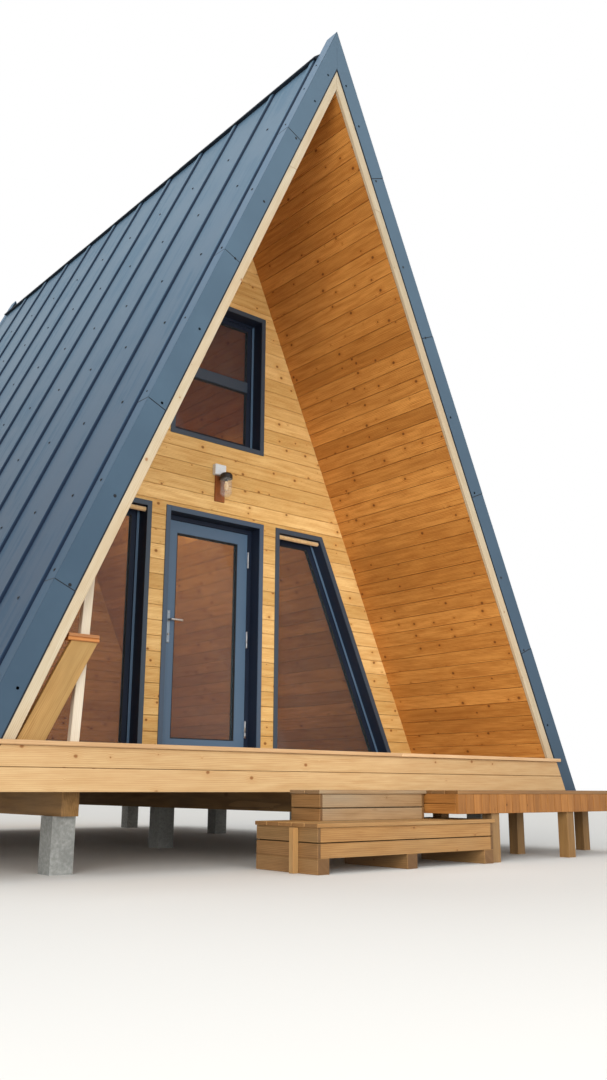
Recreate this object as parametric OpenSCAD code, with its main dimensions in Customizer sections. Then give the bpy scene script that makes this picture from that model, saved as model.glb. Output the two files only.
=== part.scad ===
// A-frame cabin on a raised deck: steep sheeted roof down to the floor, open front porch,
// clad front wall with a glazed door, two slanted side windows and one upper window.
// Millimetres, +Z up. The front faces -Y, the ground is Z = 0 and the box centre is X = Y = 0.

/* [Cabin] */
// Length of the roof from its front edge to its back edge
cabin_len = 6850; // [5600:50:8600]
// Width of the roof over its sheets at the level of the deck
roof_w = 5636; // [5200:2:6400]
// Height of the roof's outer peak above the deck
peak_h = 6330; // [5900:10:7000]
// Height of the deck's top above the lowest ground
deck_h = 800; // [760:10:1200]
// Depth of the open porch, from the roof's front edge to the front wall
porch_depth = 1675; // [1200:25:2400]
// Thickness of the front and back walls
wall_t = 220; // [210:5:300]
// How far the roof runs past the back wall
back_overhang = 60; // [20:5:300]

/* [Roof] */
// Thickness of the insulated roof panels with their inside lining
panel_t = 200; // [160:5:260]
// Thickness of the outer roof sheet between its ribs
sheet_t = 37; // [20:1:60]
// Height of the ribs above the sheet
rib_h = 20; // [15:1:50]
// Width of a rib where it leaves the sheet
rib_base = 70; // [50:1:90]
// Width of a rib at its top
rib_top = 40; // [20:1:48]
// Spacing of the ribs along the roof
rib_pitch = 590; // [300:10:900]
// Centre of the edge rib from the roof's front edge
rib_edge = 185; // [170:5:300]
// Centre of the next rib from the roof's front edge
rib_second = 770; // [500:5:1000]
// Half of the ridge cap's width
cap_half = 150; // [150:1:220]
// Depth of the ridge cap at its middle
cap_deep = 150; // [60:1:170]
// Height of the ridge cap's edges
cap_edge = 14; // [6:1:40]
// How far the cap's middle lies below the peak of the edge trims
cap_drop = 105; // [60:1:130]

/* [Roof edges] */
// Thickness of the barge boards
barge_t = 30; // [18:1:50]
// Width of the barge board that shows below the metal trim
barge_show = 74; // [40:1:120]
// Thickness of the folded metal trims
trim_t = 6; // [2:1:10]
// Width of a trim on top of the roof sheet
trim_top_w = 130; // [80:5:160]
// Gap where two boards or trims meet at the peak
butt_gap = 1.5; // [0.5:0.5:4]

/* [Door] */
// Width of the doorway between its linings
door_w = 1000; // [850:10:1060]
// Height of the door and side window linings above the deck
head_h = 2130; // [2000:10:2200]
// Depth from the wall's face to the door and the window frames
reveal = 125; // [80:5:140]
// Width of the flat trim round each opening
flange_w = 46; // [30:1:60]
// How far that trim stands out from the wall
flange_out = 10; // [5:1:20]
// Thickness of the dark lining in each opening
lining_t = 20; // [10:1:25]
// Width of the door frame's face
door_face = 40; // [30:1:60]
// Thickness of the door leaf
leaf_t = 60; // [44:1:70]
// Running gap round the door leaf
leaf_gap = 5; // [5:0.5:8]
// Gap under the door leaf
leaf_under = 20; // [18:1:30]
// Height of the threshold
threshold_h = 12; // [6:1:12]
// Depth of the stop that the leaf closes against
stop_in = 20; // [12:1:30]
// Width of the leaf's stiles
stile_w = 115; // [90:1:150]
// Height of the leaf's top rail
top_rail = 110; // [80:1:160]
// Height of the leaf's bottom rail
bottom_rail = 120; // [80:1:250]
// Thickness of the glass units
glass_t = 24; // [16:1:30]
// Radius of the hinge knuckles
knuckle_r = 9; // [6:0.5:9]
// Length of the hinge knuckles
knuckle_len = 155; // [80:1:180]
// Height of the lever's spindle above the deck
lever_h = 1170; // [1000:10:1250]
// Length of the lever from its spindle
lever_len = 122; // [100:1:140]

/* [Windows] */
// Width of a fixed window frame's face
win_face = 70; // [40:1:90]
// Depth of the fixed window frames
win_deep = 60; // [45:1:70]
// Width of the wall strip between the door's and a side window's trims
mid_strip = 150; // [100:5:200]
// Width of the wall strip between the roof lining and a side window's trim
slope_strip = 276; // [180:2:340]
// Width of the upper window over its trim
upper_w = 1068; // [800:4:1100]
// Height of the wall between the door's trim and the upper window's
upper_gap = 690; // [600:2:800]
// Height of the upper window over its trim
upper_tall = 1447; // [1000:1:1500]
// Height of the upper window's cross bar above the bottom of its trim
transom_up = 668; // [400:2:800]
// Height of the cross bar itself
transom_face = 108; // [60:1:120]
// Thickness of the lining that a side window stands on
sill_t = 12; // [8:1:25]
// Radius of the rolled blinds in the side windows
blind_r = 22; // [15:1:30]

/* [Deck and floor] */
// Depth of the floor frame with its boards
floor_deep = 297; // [240:1:330]
// Thickness of the deck and floor boards
board_t = 28; // [22:1:35]
// Thickness of the fascia boards
fascia_t = 22; // [16:1:28]
// How far the nosing stands out from the roof's front edge
nose_out = 50; // [40:1:80]
// Width of the floor joists
joist_w = 60; // [45:1:80]
// Spacing of the joists
joist_pitch = 570; // [400:10:700]
// Width and depth of the bearers under the floor
bearer_w = 120; // [90:5:160]
bearer_deep = 150; // [100:5:200]
// Distance of the outer bearers from the middle
bearer_out = 2050; // [1500:10:2200]
// Distance of a bearer's end from the roof's edge
bearer_end = 250; // [60:10:400]
// Width of the piers
pier_w = 160; // [120:5:220]
// Middle of the end piers from the roof's edge
pier_end = 400; // [340:10:900]
// Number of piers under each bearer
pier_count = 4; // [3:1:6]

/* [Steps and side deck] */
// Drop from the deck to the upper step
first_drop = 280; // [230:5:300]
// Drop from the upper to the lower step
step_rise = 206; // [180:2:216]
// Thickness of the treads
tread_t = 26; // [20:1:34]
// Overhang of the treads past the boards below
tread_out = 15; // [5:1:30]
// Height of one riser board
riser_h = 95; // [80:1:96]
// Thickness of the riser boards
riser_t = 26; // [18:1:32]
// Front of the upper step's riser from the roof's front edge
upper_going = 330; // [280:5:400]
// Front of the lower step's riser from the upper one
lower_going = 330; // [250:5:400]
// Width of the upper step over its side boards
upper_step_w = 1035; // [900:5:1200]
// Middle of the upper step, to the right of the door's
step_shift = 38; // [-50:1:100]
// How far the lower step runs past the upper one at the left
lower_left = 305; // [200:5:400]
// How far it runs past the upper one at the right
lower_right = 380; // [200:5:400]
// Width of the bearers under the lower step
foot_w = 100; // [60:5:140]
// Side of the square stake beside the lower step
stake_w = 45; // [30:1:60]
// Distance of the stake behind the lower step's front
stake_back = 190; // [60:5:300]
// Depth of the side deck in front of the fascia
side_deck_y = 630; // [560:5:640]
// Height of the side deck's skirt boards
skirt_h = 140; // [100:5:150]
// Thickness of the skirt boards
skirt_t = 24; // [18:1:30]
// Side of the square posts under the side deck
side_post_w = 90; // [70:5:120]

/* [Porch fittings] */
// Height of the leaning board at the porch's left end
store_h = 622; // [500:2:800]
// Width of the leaning board, measured level
store_w = 185; // [120:5:220]
// Level gap between the leaning board's foot and the roof lining
store_foot = 21; // [10:1:60]
// The same gap at the board's top
store_gap = 61; // [50:1:120]
// Thickness of the leaning board
store_t = 40; // [25:1:50]
// Width and depth of the porch's left post
post_w = 62; // [40:1:80]
post_deep = 45; // [40:1:80]
// Middle of the post's foot from the cabin's middle
post_x = 2136; // [2000:2:2180]
// Lean of the post toward the cabin's middle, in degrees
post_lean = 2.5; // [0:0.5:6]
// Middle of the wall lamp to the right of the cabin's middle
lamp_x = 20; // [-60:5:100]
// Height of the wall between the door's trim and the lamp's back plate
lamp_gap = 128; // [60:2:160]

/* [Hidden] */
$fn = 48;
fit = 0.3;
roof_pitch = atan(2 * peak_h / roof_w);
sp = sin(roof_pitch);
cp = cos(roof_pitch);
tp = tan(roof_pitch);
deck_z = deck_h;
foot_z = deck_z - floor_deep;
peak_z = deck_z + peak_h;
roof_t = panel_t + sheet_t;
cover_w = roof_t - barge_show;
cap_z = peak_z - cap_drop - cap_deep;

wall_y = porch_depth;
wall_in_y = wall_y + wall_t;
back_out_y = cabin_len - back_overhang;
back_in_y = back_out_y - wall_t;
frame_y = wall_y + reveal;
stop_y = frame_y + leaf_t + leaf_gap;

head_z = deck_z + head_h;
upper_low_z = head_z + flange_w + upper_gap;
upper_high_z = upper_low_z + upper_tall;
transom_z = upper_low_z + transom_up;
side_x = door_w / 2 + 2 * flange_w + mid_strip;
leaf_half = door_w / 2 - door_face - leaf_gap;
leaf_low = deck_z + leaf_under;
leaf_high = head_z - door_face - leaf_gap;
hinge_x = leaf_half + leaf_gap / 2;
hinge_y = frame_y - knuckle_r - 1;
hinge_heights = [245, 1070, 1835];
spindle_x = -leaf_half + 50;
lever_z = deck_z + lever_h;
plate_w = 32;
plate_t = 8;
plate_up = 85;
plate_down = 205;
lever_r = 10;
lever_off = 46;

lamp_plate_w = 112;
lamp_plate_t = 18;
lamp_plate_h = 248;
lamp_box_w = 122;
lamp_box_deep = 52;
lamp_box_h = 103;
lamp_box_side = -20;
jar_r = 54;
jar_round = 36;
jar_wall = 3;
jar_h = 170;
jar_y = 112;
jar_up = 30;
lamp_cap_r = jar_r + 3;
lamp_cap_h = 60;
lamp_z = head_z + flange_w + lamp_gap;

store_y = barge_t + 3;
cap_board_t = 23;
cap_board_out = 30;

floor_z = deck_z - board_t;
upper_tread_z = deck_z - first_drop;
lower_tread_z = upper_tread_z - step_rise;
upper_riser_y = -upper_going;
lower_riser_y = upper_riser_y - lower_going;
upper_x0 = step_shift - upper_step_w / 2;
upper_x1 = step_shift + upper_step_w / 2;
lower_x0 = upper_x0 - lower_left;
lower_x1 = upper_x1 + lower_right;
riser_low_z = lower_tread_z - tread_t - 2 * riser_h;
side_x0 = upper_x1 + tread_out + 1;
side_y0 = -fascia_t - side_deck_y;
skirt_z = upper_tread_z - tread_t - skirt_h;

// The roof's outermost line sets the box in X, the lower step and the back trim set it in Y
half_w = (peak_z + rib_h / cp - foot_z) / tp;
box_y0 = lower_riser_y - tread_out;
box_y1 = cabin_len + trim_t;
shift_y = -(box_y0 + box_y1) / 2;

// Half width at height z of the plane that lies d inside the roof sheet's outer face
function half_at(z, d) = (peak_z - d / cp - z) / tp;
function apex(d) = peak_z - d / cp;

// Outline of a side window drawn in by d from its trim's outer edge, and by low from the deck
function side_pts(d, low) = [
    [side_x - flange_w + d, deck_z + low],
    [half_at(deck_z + low, roof_t + slope_strip + d), deck_z + low],
    [half_at(head_z + flange_w - d, roof_t + slope_strip + d), head_z + flange_w - d],
    [side_x - flange_w + d, head_z + flange_w - d]
];

// A drawing in X and Z pulled out along Y
module along(y0, y1) {
    translate([0, y1, 0]) rotate([90, 0, 0]) linear_extrude(y1 - y0) children();
}

module flip(left) {
    if (left) mirror([1, 0, 0]) children();
    else children();
}

module block(x0, x1, y0, y1, z0, z1) {
    translate([x0, y0, z0]) cube([x1 - x0, y1 - y0, z1 - z0]);
}

module rect(x0, x1, z0, z1) {
    translate([x0, z0]) square([x1 - x0, z1 - z0]);
}

// Right roof slope between depths d0 and d1 below the sheet's face, level at the top
module slope_band(d0, d1, top_z) {
    cut = min(top_z, apex(d0));
    polygon([
        [half_at(foot_z, d0), foot_z], [half_at(cut, d0), cut], [0, cut],
        [0, apex(d1)], [half_at(foot_z, d1), foot_z]
    ]);
}

// Sloped band that stops short of the middle by a butt gap
module butt_band(d0, d1) {
    intersection() {
        slope_band(d0, d1, peak_z * 2);
        rect(butt_gap / 2, half_w * 2, 0, peak_z * 2);
    }
}

// Everything between the two roof linings, from z0 to z1, with a hair's clearance to them
module between(z0, z1) {
    in = roof_t + fit;
    top = min(z1, apex(in));
    polygon([
        [-half_at(z0, in), z0], [half_at(z0, in), z0], [half_at(top, in), top],
        [-half_at(top, in), top]
    ]);
}

// Roof

module roof_panel(left) {
    color("#c08a48") flip(left)
        along(barge_t, cabin_len - barge_t) slope_band(sheet_t, roof_t, cap_z);
}

function rib_count() = floor((cabin_len - trim_top_w - rib_base - rib_second) / rib_pitch) + 1;

// Section across the sheet: outward from its face, and along the roof
module sheet_profile() {
    regular = [for (i = [0 : rib_count() - 1]) rib_second + i * rib_pitch];
    ribs = [for (y = concat([rib_edge], regular)) each [
        [0, y - rib_base / 2], [rib_h, y - rib_top / 2], [rib_h, y + rib_top / 2],
        [0, y + rib_base / 2]
    ]];
    back = fit - sheet_t;
    polygon(concat([[back, 0], [0, 0]], ribs, [[0, cabin_len], [back, cabin_len]]));
}

// The profile laid up the right slope, then cut level at the foot and under the cap
module roof_sheet(left) {
    over = 6 * rib_h;
    color("#4d6173") flip(left) intersection() {
        translate([half_at(foot_z, 0), 0, foot_z]) rotate([0, roof_pitch - 90, 0])
            translate([0, 0, -over]) linear_extrude((peak_z - foot_z) / sp + 2 * over)
                sheet_profile();
        along(-1, cabin_len + 1) rect(0, half_w + over, foot_z, cap_z);
    }
}

module ridge_cap() {
    color("#1d242b") along(trim_top_w + fit, cabin_len - trim_top_w - fit) polygon([
        [-cap_half, cap_z], [cap_half, cap_z], [cap_half, cap_z + cap_edge],
        [0, cap_z + cap_deep], [-cap_half, cap_z + cap_edge]
    ]);
}

// Folded edge trim: a face plate over the board and a strip on top of the sheet
module rake_side(face_y0, face_y1, top_y0, top_y1) {
    along(face_y0, face_y1) butt_band(-trim_t, cover_w);
    along(top_y0, top_y1) butt_band(-trim_t, -fit);
}

module rake_trim_front() {
    color("#4d6173") for (left = [false, true]) flip(left)
        rake_side(-trim_t, 0, -trim_t, trim_top_w);
}

module rake_trim_back() {
    color("#4d6173") for (left = [false, true]) flip(left)
        rake_side(cabin_len, cabin_len + trim_t, cabin_len - trim_top_w, cabin_len + trim_t);
}

module barge_front() {
    color("#f0dbb4") for (left = [false, true]) flip(left)
        along(0, barge_t) butt_band(sheet_t, roof_t);
}

module barge_back() {
    color("#f0dbb4") for (left = [false, true]) flip(left)
        along(cabin_len - barge_t, cabin_len) butt_band(sheet_t, roof_t);
}

// Floor

// Joists from roof slope to roof slope, the first one behind the fascia
module floor_joists() {
    color("#9b7a4d") {
        along(0, joist_w) between(foot_z, floor_z);
        for (y = [joist_pitch : joist_pitch : cabin_len - joist_pitch / 2])
            along(y, y + joist_w) between(foot_z, floor_z);
        along(cabin_len - joist_w, cabin_len) between(foot_z, floor_z);
    }
}

module deck_boards() {
    color("#c9a56b") along(-trim_t, wall_in_y) between(floor_z, deck_z);
}

module inside_floor() {
    color("#c9a56b") along(wall_in_y, back_out_y) between(floor_z, deck_z);
}

module deck_fascia() {
    color("#d9b679") along(-fascia_t, 0) polygon([
        [-half_at(foot_z, cover_w) + fit, foot_z], [half_at(foot_z, cover_w) - fit, foot_z],
        [half_at(floor_z, cover_w) - fit, floor_z], [-half_at(floor_z, cover_w) + fit, floor_z]
    ]);
}

module deck_nosing() {
    end_x = half_at(deck_z, cover_w) + 45;
    color("#e2c595") block(-end_x, end_x, -nose_out, -trim_t - fit, floor_z, deck_z);
}

module bearers() {
    color("#8a6b43") for (x = [-bearer_out, 0, bearer_out])
        block(x - bearer_w / 2, x + bearer_w / 2, bearer_end, cabin_len - bearer_end,
            foot_z - bearer_deep, foot_z);
}

module piers() {
    step = (cabin_len - 2 * pier_end) / (pier_count - 1);
    color("#8d8f8c") for (x = [-bearer_out, 0, bearer_out]) for (i = [0 : pier_count - 1])
        block(x - pier_w / 2, x + pier_w / 2, pier_end + i * step - pier_w / 2,
            pier_end + i * step + pier_w / 2, 0, foot_z - bearer_deep);
}

// Walls

module front_wall_side(left) {
    hole = flange_w - lining_t;
    color("#e0b068") flip(left) along(wall_y, wall_in_y) difference() {
        intersection() {
            between(deck_z, head_z + lining_t);
            rect(door_w / 2 + lining_t, half_w, deck_z, head_z + lining_t);
        }
        polygon(side_pts(hole, -1));
    }
}

module front_wall_top() {
    hole = flange_w - lining_t;
    color("#e0b068") along(wall_y, wall_in_y) difference() {
        between(head_z + lining_t, peak_z);
        rect(-upper_w / 2 + hole, upper_w / 2 - hole, upper_low_z + hole, upper_high_z - hole);
    }
}

module back_wall() {
    color("#e0b068") along(back_in_y, back_out_y) between(deck_z, peak_z);
}

// Door

module door_hole(inset, y0, y1) {
    block(-door_w / 2 + inset, door_w / 2 - inset, y0, y1, deck_z - 1, head_z - inset);
}

module door_frame() {
    out = door_w / 2;
    color("#3a434b") union() {
        difference() {
            union() {
                block(-out - flange_w, out + flange_w, wall_y - flange_out, wall_y,
                    deck_z, head_z + flange_w);
                block(-out - lining_t, out + lining_t, wall_y, wall_in_y, deck_z, head_z + lining_t);
            }
            door_hole(0, wall_y - flange_out - 1, frame_y);
            door_hole(door_face, frame_y - 1, stop_y);
            door_hole(door_face + stop_in, stop_y - 1, wall_in_y + 1);
        }
        block(-out, out, wall_y, wall_in_y, deck_z, deck_z + threshold_h);
    }
}

module door_leaf() {
    color("#5d7387") difference() {
        block(-leaf_half, leaf_half, frame_y, frame_y + leaf_t, leaf_low, leaf_high);
        block(-leaf_half + stile_w, leaf_half - stile_w, frame_y - 1, frame_y + leaf_t + 1,
            leaf_low + bottom_rail, leaf_high - top_rail);
    }
}

module door_glass() {
    y = frame_y + (leaf_t - glass_t) / 2;
    color("#8fa6ae", 0.4) block(-leaf_half + stile_w, leaf_half - stile_w, y, y + glass_t,
        leaf_low + bottom_rail, leaf_high - top_rail);
}

// Upper knuckles on the hinge line, with the flaps screwed to the leaf
module door_hinges() {
    up = knuckle_len / 3;
    color("#d8dadb") for (h = hinge_heights) translate([0, 0, deck_z + h - knuckle_len / 2]) {
        union() {
            translate([hinge_x, hinge_y, up + fit]) cylinder(r = knuckle_r, h = knuckle_len - up);
            block(hinge_x - 31, hinge_x, frame_y - 4, frame_y, up + fit, knuckle_len);
        }
    }
}

// Lower knuckles, with the flaps screwed to the frame
module hinge_plates() {
    up = knuckle_len / 3;
    color("#d8dadb") for (h = hinge_heights) translate([0, 0, deck_z + h - knuckle_len / 2]) {
        union() {
            translate([hinge_x, hinge_y, 0]) cylinder(r = knuckle_r, h = up);
            block(hinge_x + 2.5, hinge_x + 31, frame_y - 4, frame_y, 0, up);
            block(hinge_x, hinge_x + 4, frame_y - 4, frame_y - 0.5, 0, up);
        }
    }
}

module handle_plate() {
    color("#c9cccf") block(spindle_x - plate_w / 2, spindle_x + plate_w / 2, frame_y - plate_t,
        frame_y, lever_z - plate_down, lever_z + plate_up);
}

module door_lever() {
    bar_y = frame_y - plate_t - lever_off;
    color("#c9cccf") union() {
        translate([spindle_x, frame_y - plate_t - fit, lever_z]) rotate([90, 0, 0])
            cylinder(r = lever_r, h = lever_off + lever_r - fit);
        translate([spindle_x, bar_y, lever_z]) rotate([0, 90, 0])
            cylinder(r = lever_r, h = lever_len);
    }
}

// Windows

module upper_rect(inset) {
    rect(-upper_w / 2 + inset, upper_w / 2 - inset, upper_low_z + inset, upper_high_z - inset);
}

module upper_window_frame() {
    color("#3a434b") union() {
        along(wall_y - flange_out, wall_y) difference() {
            upper_rect(0);
            upper_rect(flange_w);
        }
        along(wall_y, wall_in_y) difference() {
            upper_rect(flange_w - lining_t);
            upper_rect(flange_w);
        }
        along(frame_y, frame_y + win_deep) difference() {
            upper_rect(flange_w);
            upper_rect(flange_w + win_face);
        }
        block(-upper_w / 2 + flange_w + win_face / 2, upper_w / 2 - flange_w - win_face / 2,
            frame_y, frame_y + win_deep, transom_z, transom_z + transom_face);
    }
}

module upper_window_glass() {
    in = flange_w + win_face;
    y = frame_y + (win_deep - glass_t) / 2;
    color("#8fa6ae", 0.4) along(y, y + glass_t) difference() {
        upper_rect(in);
        rect(-upper_w, upper_w, transom_z, transom_z + transom_face);
    }
}

module side_window_frame(left) {
    color("#3a434b") flip(left) union() {
        along(wall_y - flange_out, wall_y) difference() {
            polygon(side_pts(0, 0));
            polygon(side_pts(flange_w, -1));
        }
        along(wall_y, wall_in_y) difference() {
            polygon(side_pts(flange_w - lining_t, 0));
            polygon(side_pts(flange_w, sill_t));
        }
        along(frame_y, frame_y + win_deep) difference() {
            polygon(side_pts(flange_w, sill_t));
            polygon(side_pts(flange_w + win_face, sill_t + win_face));
        }
    }
}

module side_window_glass(left) {
    y = frame_y + (win_deep - glass_t) / 2;
    color("#8fa6ae", 0.4) flip(left) along(y, y + glass_t)
        polygon(side_pts(flange_w + win_face, sill_t + win_face));
}

module blind_rolls() {
    z = head_z - blind_r - 6;
    x1 = half_at(z + blind_r, roof_t + slope_strip + flange_w) - fit;
    color("#e6d3ae") for (left = [false, true]) flip(left)
        translate([side_x + fit, wall_y + 10 + blind_r, z]) rotate([0, 90, 0])
            cylinder(r = blind_r, h = x1 - side_x - fit);
}

// Steps and side deck

// A tread on three boards, open at the back and below
module step_box(x0, x1, y_front, top_z, low_z) {
    block(x0 - tread_out, x1 + tread_out, y_front - tread_out, -fascia_t, top_z - tread_t, top_z);
    block(x0, x1, y_front, y_front + riser_t, low_z, top_z - tread_t);
    block(x0, x0 + riser_t, y_front, -fascia_t, low_z, top_z - tread_t);
    block(x1 - riser_t, x1, y_front, -fascia_t, low_z, top_z - tread_t);
}

module upper_step() {
    color("#a88f68") step_box(upper_x0, upper_x1, upper_riser_y, upper_tread_z, lower_tread_z);
}

module lower_step() {
    color("#b8955f") step_box(lower_x0, lower_x1, lower_riser_y, lower_tread_z, riser_low_z);
}

module step_feet() {
    mid = (lower_x0 + lower_x1) / 2;
    color("#a5793f") {
        for (x = [lower_x0, mid - foot_w / 2, lower_x1 - foot_w])
            block(x, x + foot_w, lower_riser_y, -fascia_t, 0, riser_low_z);
        block(lower_x0 - stake_w, lower_x0, lower_riser_y + stake_back,
            lower_riser_y + stake_back + stake_w, 0, lower_tread_z - tread_t - 4);
    }
}

module side_deck_boards() {
    color("#c9a56b") block(side_x0, half_w, side_y0, -fascia_t, upper_tread_z - tread_t, upper_tread_z);
}

module side_deck_skirt() {
    top = upper_tread_z - tread_t;
    color("#b8742f") union() {
        block(side_x0, half_w, side_y0 + 2, side_y0 + 2 + skirt_t, skirt_z, top);
        block(side_x0, side_x0 + skirt_t, side_y0 + 2, -fascia_t, skirt_z, top);
        block(half_w - skirt_t, half_w, side_y0 + 2, -fascia_t, skirt_z, top);
    }
}

module side_deck_posts() {
    left_x = lower_x1 + tread_out + 20;
    right_x = half_w - skirt_t - side_post_w;
    color("#8a6b43") for (x = [left_x, (left_x + right_x) / 2, right_x])
        for (y = [side_y0 + 2 + skirt_t, -fascia_t - side_post_w - 10])
            block(x, x + side_post_w, y, y + side_post_w, 0, upper_tread_z - tread_t);
}

// Porch fittings

// The board stands just behind the barge board, and the post just behind the board
module store_post() {
    y = store_y + store_t + 2;
    color("#efe3c6") along(y, y + post_deep) intersection() {
        translate([-post_x, deck_z]) rotate(-post_lean) rect(-post_w / 2, post_w / 2, -post_w, peak_h);
        between(deck_z, peak_z);
    }
}

module store_board() {
    color("#cdb26f") along(store_y, store_y + store_t) polygon([
        [-half_at(deck_z, roof_t) + store_foot, deck_z],
        [-half_at(deck_z, roof_t) + store_foot + store_w, deck_z],
        [-half_at(deck_z + store_h, roof_t) + store_gap + store_w, deck_z + store_h],
        [-half_at(deck_z + store_h, roof_t) + store_gap, deck_z + store_h]
    ]);
}

module store_cap() {
    x0 = -half_at(deck_z + store_h, roof_t) + store_gap - cap_board_out;
    x1 = x0 + cap_board_out + store_w + 3;
    y0 = store_y - 15;
    y1 = store_y + store_t + 1;
    z = deck_z + store_h;
    color("#c77f3c") union() {
        block(x0, x1, y0, y1, z, z + cap_board_t);
        block(x0 + 3, x1, y0 + 3, y1, z + cap_board_t, z + 2 * cap_board_t);
    }
}

// Wall lamp

module lamp_plate() {
    color("#a5602c") block(lamp_x - lamp_plate_w / 2, lamp_x + lamp_plate_w / 2,
        wall_y - lamp_plate_t, wall_y, lamp_z, lamp_z + lamp_plate_h);
}

module lamp_box() {
    z = lamp_z + lamp_plate_h;
    x = lamp_x + lamp_box_side;
    color("#ece9e2") block(x - lamp_box_w / 2, x + lamp_box_w / 2,
        wall_y - lamp_box_deep, wall_y, z, z + lamp_box_h);
}

// Socket cap on its short arm
module lamp_cap() {
    z = lamp_z + jar_up + jar_h;
    color("#3b3a38") union() {
        translate([lamp_x, wall_y - jar_y, z]) cylinder(r = lamp_cap_r, h = lamp_cap_h);
        block(lamp_x - 14, lamp_x + 14, wall_y - jar_y, wall_y - lamp_plate_t, z + 10, z + 34);
    }
}

// Half section of the jar, drawn in by d: round at the bottom, open at the top
function jar_skin(d) = [
    [0, d],
    for (a = [0 : 15 : 90]) [
        jar_r - jar_round + (jar_round - d) * sin(a), jar_round - (jar_round - d) * cos(a)
    ],
    [jar_r - d, jar_h]
];

function backward(points) = [for (i = [len(points) - 1 : -1 : 0]) points[i]];

module lamp_jar() {
    color("#dfe8ea", 0.4) translate([lamp_x, wall_y - jar_y, lamp_z + jar_up])
        rotate_extrude() polygon(concat(jar_skin(0), backward(jar_skin(jar_wall))));
}

// Every piece in its place, moved so that the box is centred over the origin
module place() {
    translate([0, shift_y, 0]) children();
}

place() roof_panel(true);  // roof_panel_left
place() roof_panel(false);  // roof_panel_right
place() roof_sheet(true);  // roof_sheet_left
place() roof_sheet(false);  // roof_sheet_right
place() ridge_cap();
place() rake_trim_front();
place() rake_trim_back();
place() barge_front();
place() barge_back();
place() floor_joists();
place() deck_boards();
place() inside_floor();
place() deck_fascia();
place() deck_nosing();
place() bearers();
place() piers();
place() front_wall_side(true);  // front_wall_left
place() front_wall_side(false);  // front_wall_right
place() front_wall_top();
place() back_wall();
place() door_frame();
place() door_leaf();
place() door_glass();
place() door_hinges();
place() hinge_plates();
place() handle_plate();
place() door_lever();
place() upper_window_frame();
place() upper_window_glass();
place() side_window_frame(true);  // left_window_frame
place() side_window_glass(true);  // left_window_glass
place() side_window_frame(false);  // right_window_frame
place() side_window_glass(false);  // right_window_glass
place() blind_rolls();
place() upper_step();
place() lower_step();
place() step_feet();
place() side_deck_boards();
place() side_deck_skirt();
place() side_deck_posts();
place() store_post();
place() store_board();
place() store_cap();
place() lamp_plate();
place() lamp_box();
place() lamp_cap();
place() lamp_jar();
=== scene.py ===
"""Dresses the A-frame cabin: boards, metal, glass, fittings, studio and camera."""

import logging
import math
import random
from dataclasses import dataclass, field
from enum import Enum
from typing import Callable, Iterable, Sequence

import bmesh
import bpy
from mathutils import Matrix, Vector


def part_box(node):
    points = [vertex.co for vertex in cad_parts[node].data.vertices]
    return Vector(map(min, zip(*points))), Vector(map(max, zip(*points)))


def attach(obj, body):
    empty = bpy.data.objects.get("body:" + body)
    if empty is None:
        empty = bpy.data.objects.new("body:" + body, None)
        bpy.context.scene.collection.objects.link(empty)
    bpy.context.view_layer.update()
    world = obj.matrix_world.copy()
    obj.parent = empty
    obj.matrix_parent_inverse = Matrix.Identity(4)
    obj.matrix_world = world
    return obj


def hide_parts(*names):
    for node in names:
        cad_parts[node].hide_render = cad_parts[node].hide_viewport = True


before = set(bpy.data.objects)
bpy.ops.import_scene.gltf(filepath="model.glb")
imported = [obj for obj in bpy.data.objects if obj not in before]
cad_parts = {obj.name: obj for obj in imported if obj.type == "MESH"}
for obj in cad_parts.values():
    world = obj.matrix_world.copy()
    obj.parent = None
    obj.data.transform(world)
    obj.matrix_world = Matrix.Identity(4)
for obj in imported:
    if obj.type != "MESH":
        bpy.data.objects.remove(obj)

LOG = logging.getLogger("cabin")
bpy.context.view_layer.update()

Point = tuple[float, float, float]
Pair = tuple[float, float]
Colour = tuple[float, float, float, float]
Luck = tuple[float, float, float, float]
Line = Callable[[float], float]
Socket = bpy.types.NodeSocket

AHEAD = Vector((0, -1, 0))
UP = Vector((0, 0, 1))
SIDES = (-1, 1)
# Radius and height along a roofing screw's washer and its head
WASHER = ((0.0, 0.0), (0.0135, 0.0), (0.0135, 0.0016), (0.0, 0.0016))
SCREW_HEAD = ((0.0098, 0.0016), (0.0074, 0.0030), (0.0066, 0.0068), (0.0, 0.0074))
# A block's eight corners, each as three choices: along, across and through
CORNERS = tuple((c & 1, c >> 1 & 1, c >> 2) for c in range(8))
# Roughness of every noise, and scale at which the ring pattern has one band in a unit
SOFT = 0.55
BAND = 0.314


# Colours, scales and sizes


def linear(hex_colour: str) -> Colour:
    """Converts an sRGB colour to the linear values that shaders use.

    Args:
        hex_colour: The colour as "#rrggbb".

    Returns:
        Red, green, blue and an alpha of one.
    """
    values = [int(hex_colour[i : i + 2], 16) / 255 for i in (1, 3, 5)]
    rgb = [c / 12.92 if c <= 0.04045 else ((c + 0.055) / 1.055) ** 2.4 for c in values]
    return (rgb[0], rgb[1], rgb[2], 1.0)


def scale(mm: float) -> float:
    """Turns a pattern's real size in millimetres into its scale per metre."""
    return 1000 / mm


class Axis(Enum):
    """Direction that a timber's grain runs in, BOARD where each board has its own."""

    BOARD = -1
    X = 0
    Y = 1
    Z = 2


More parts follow.
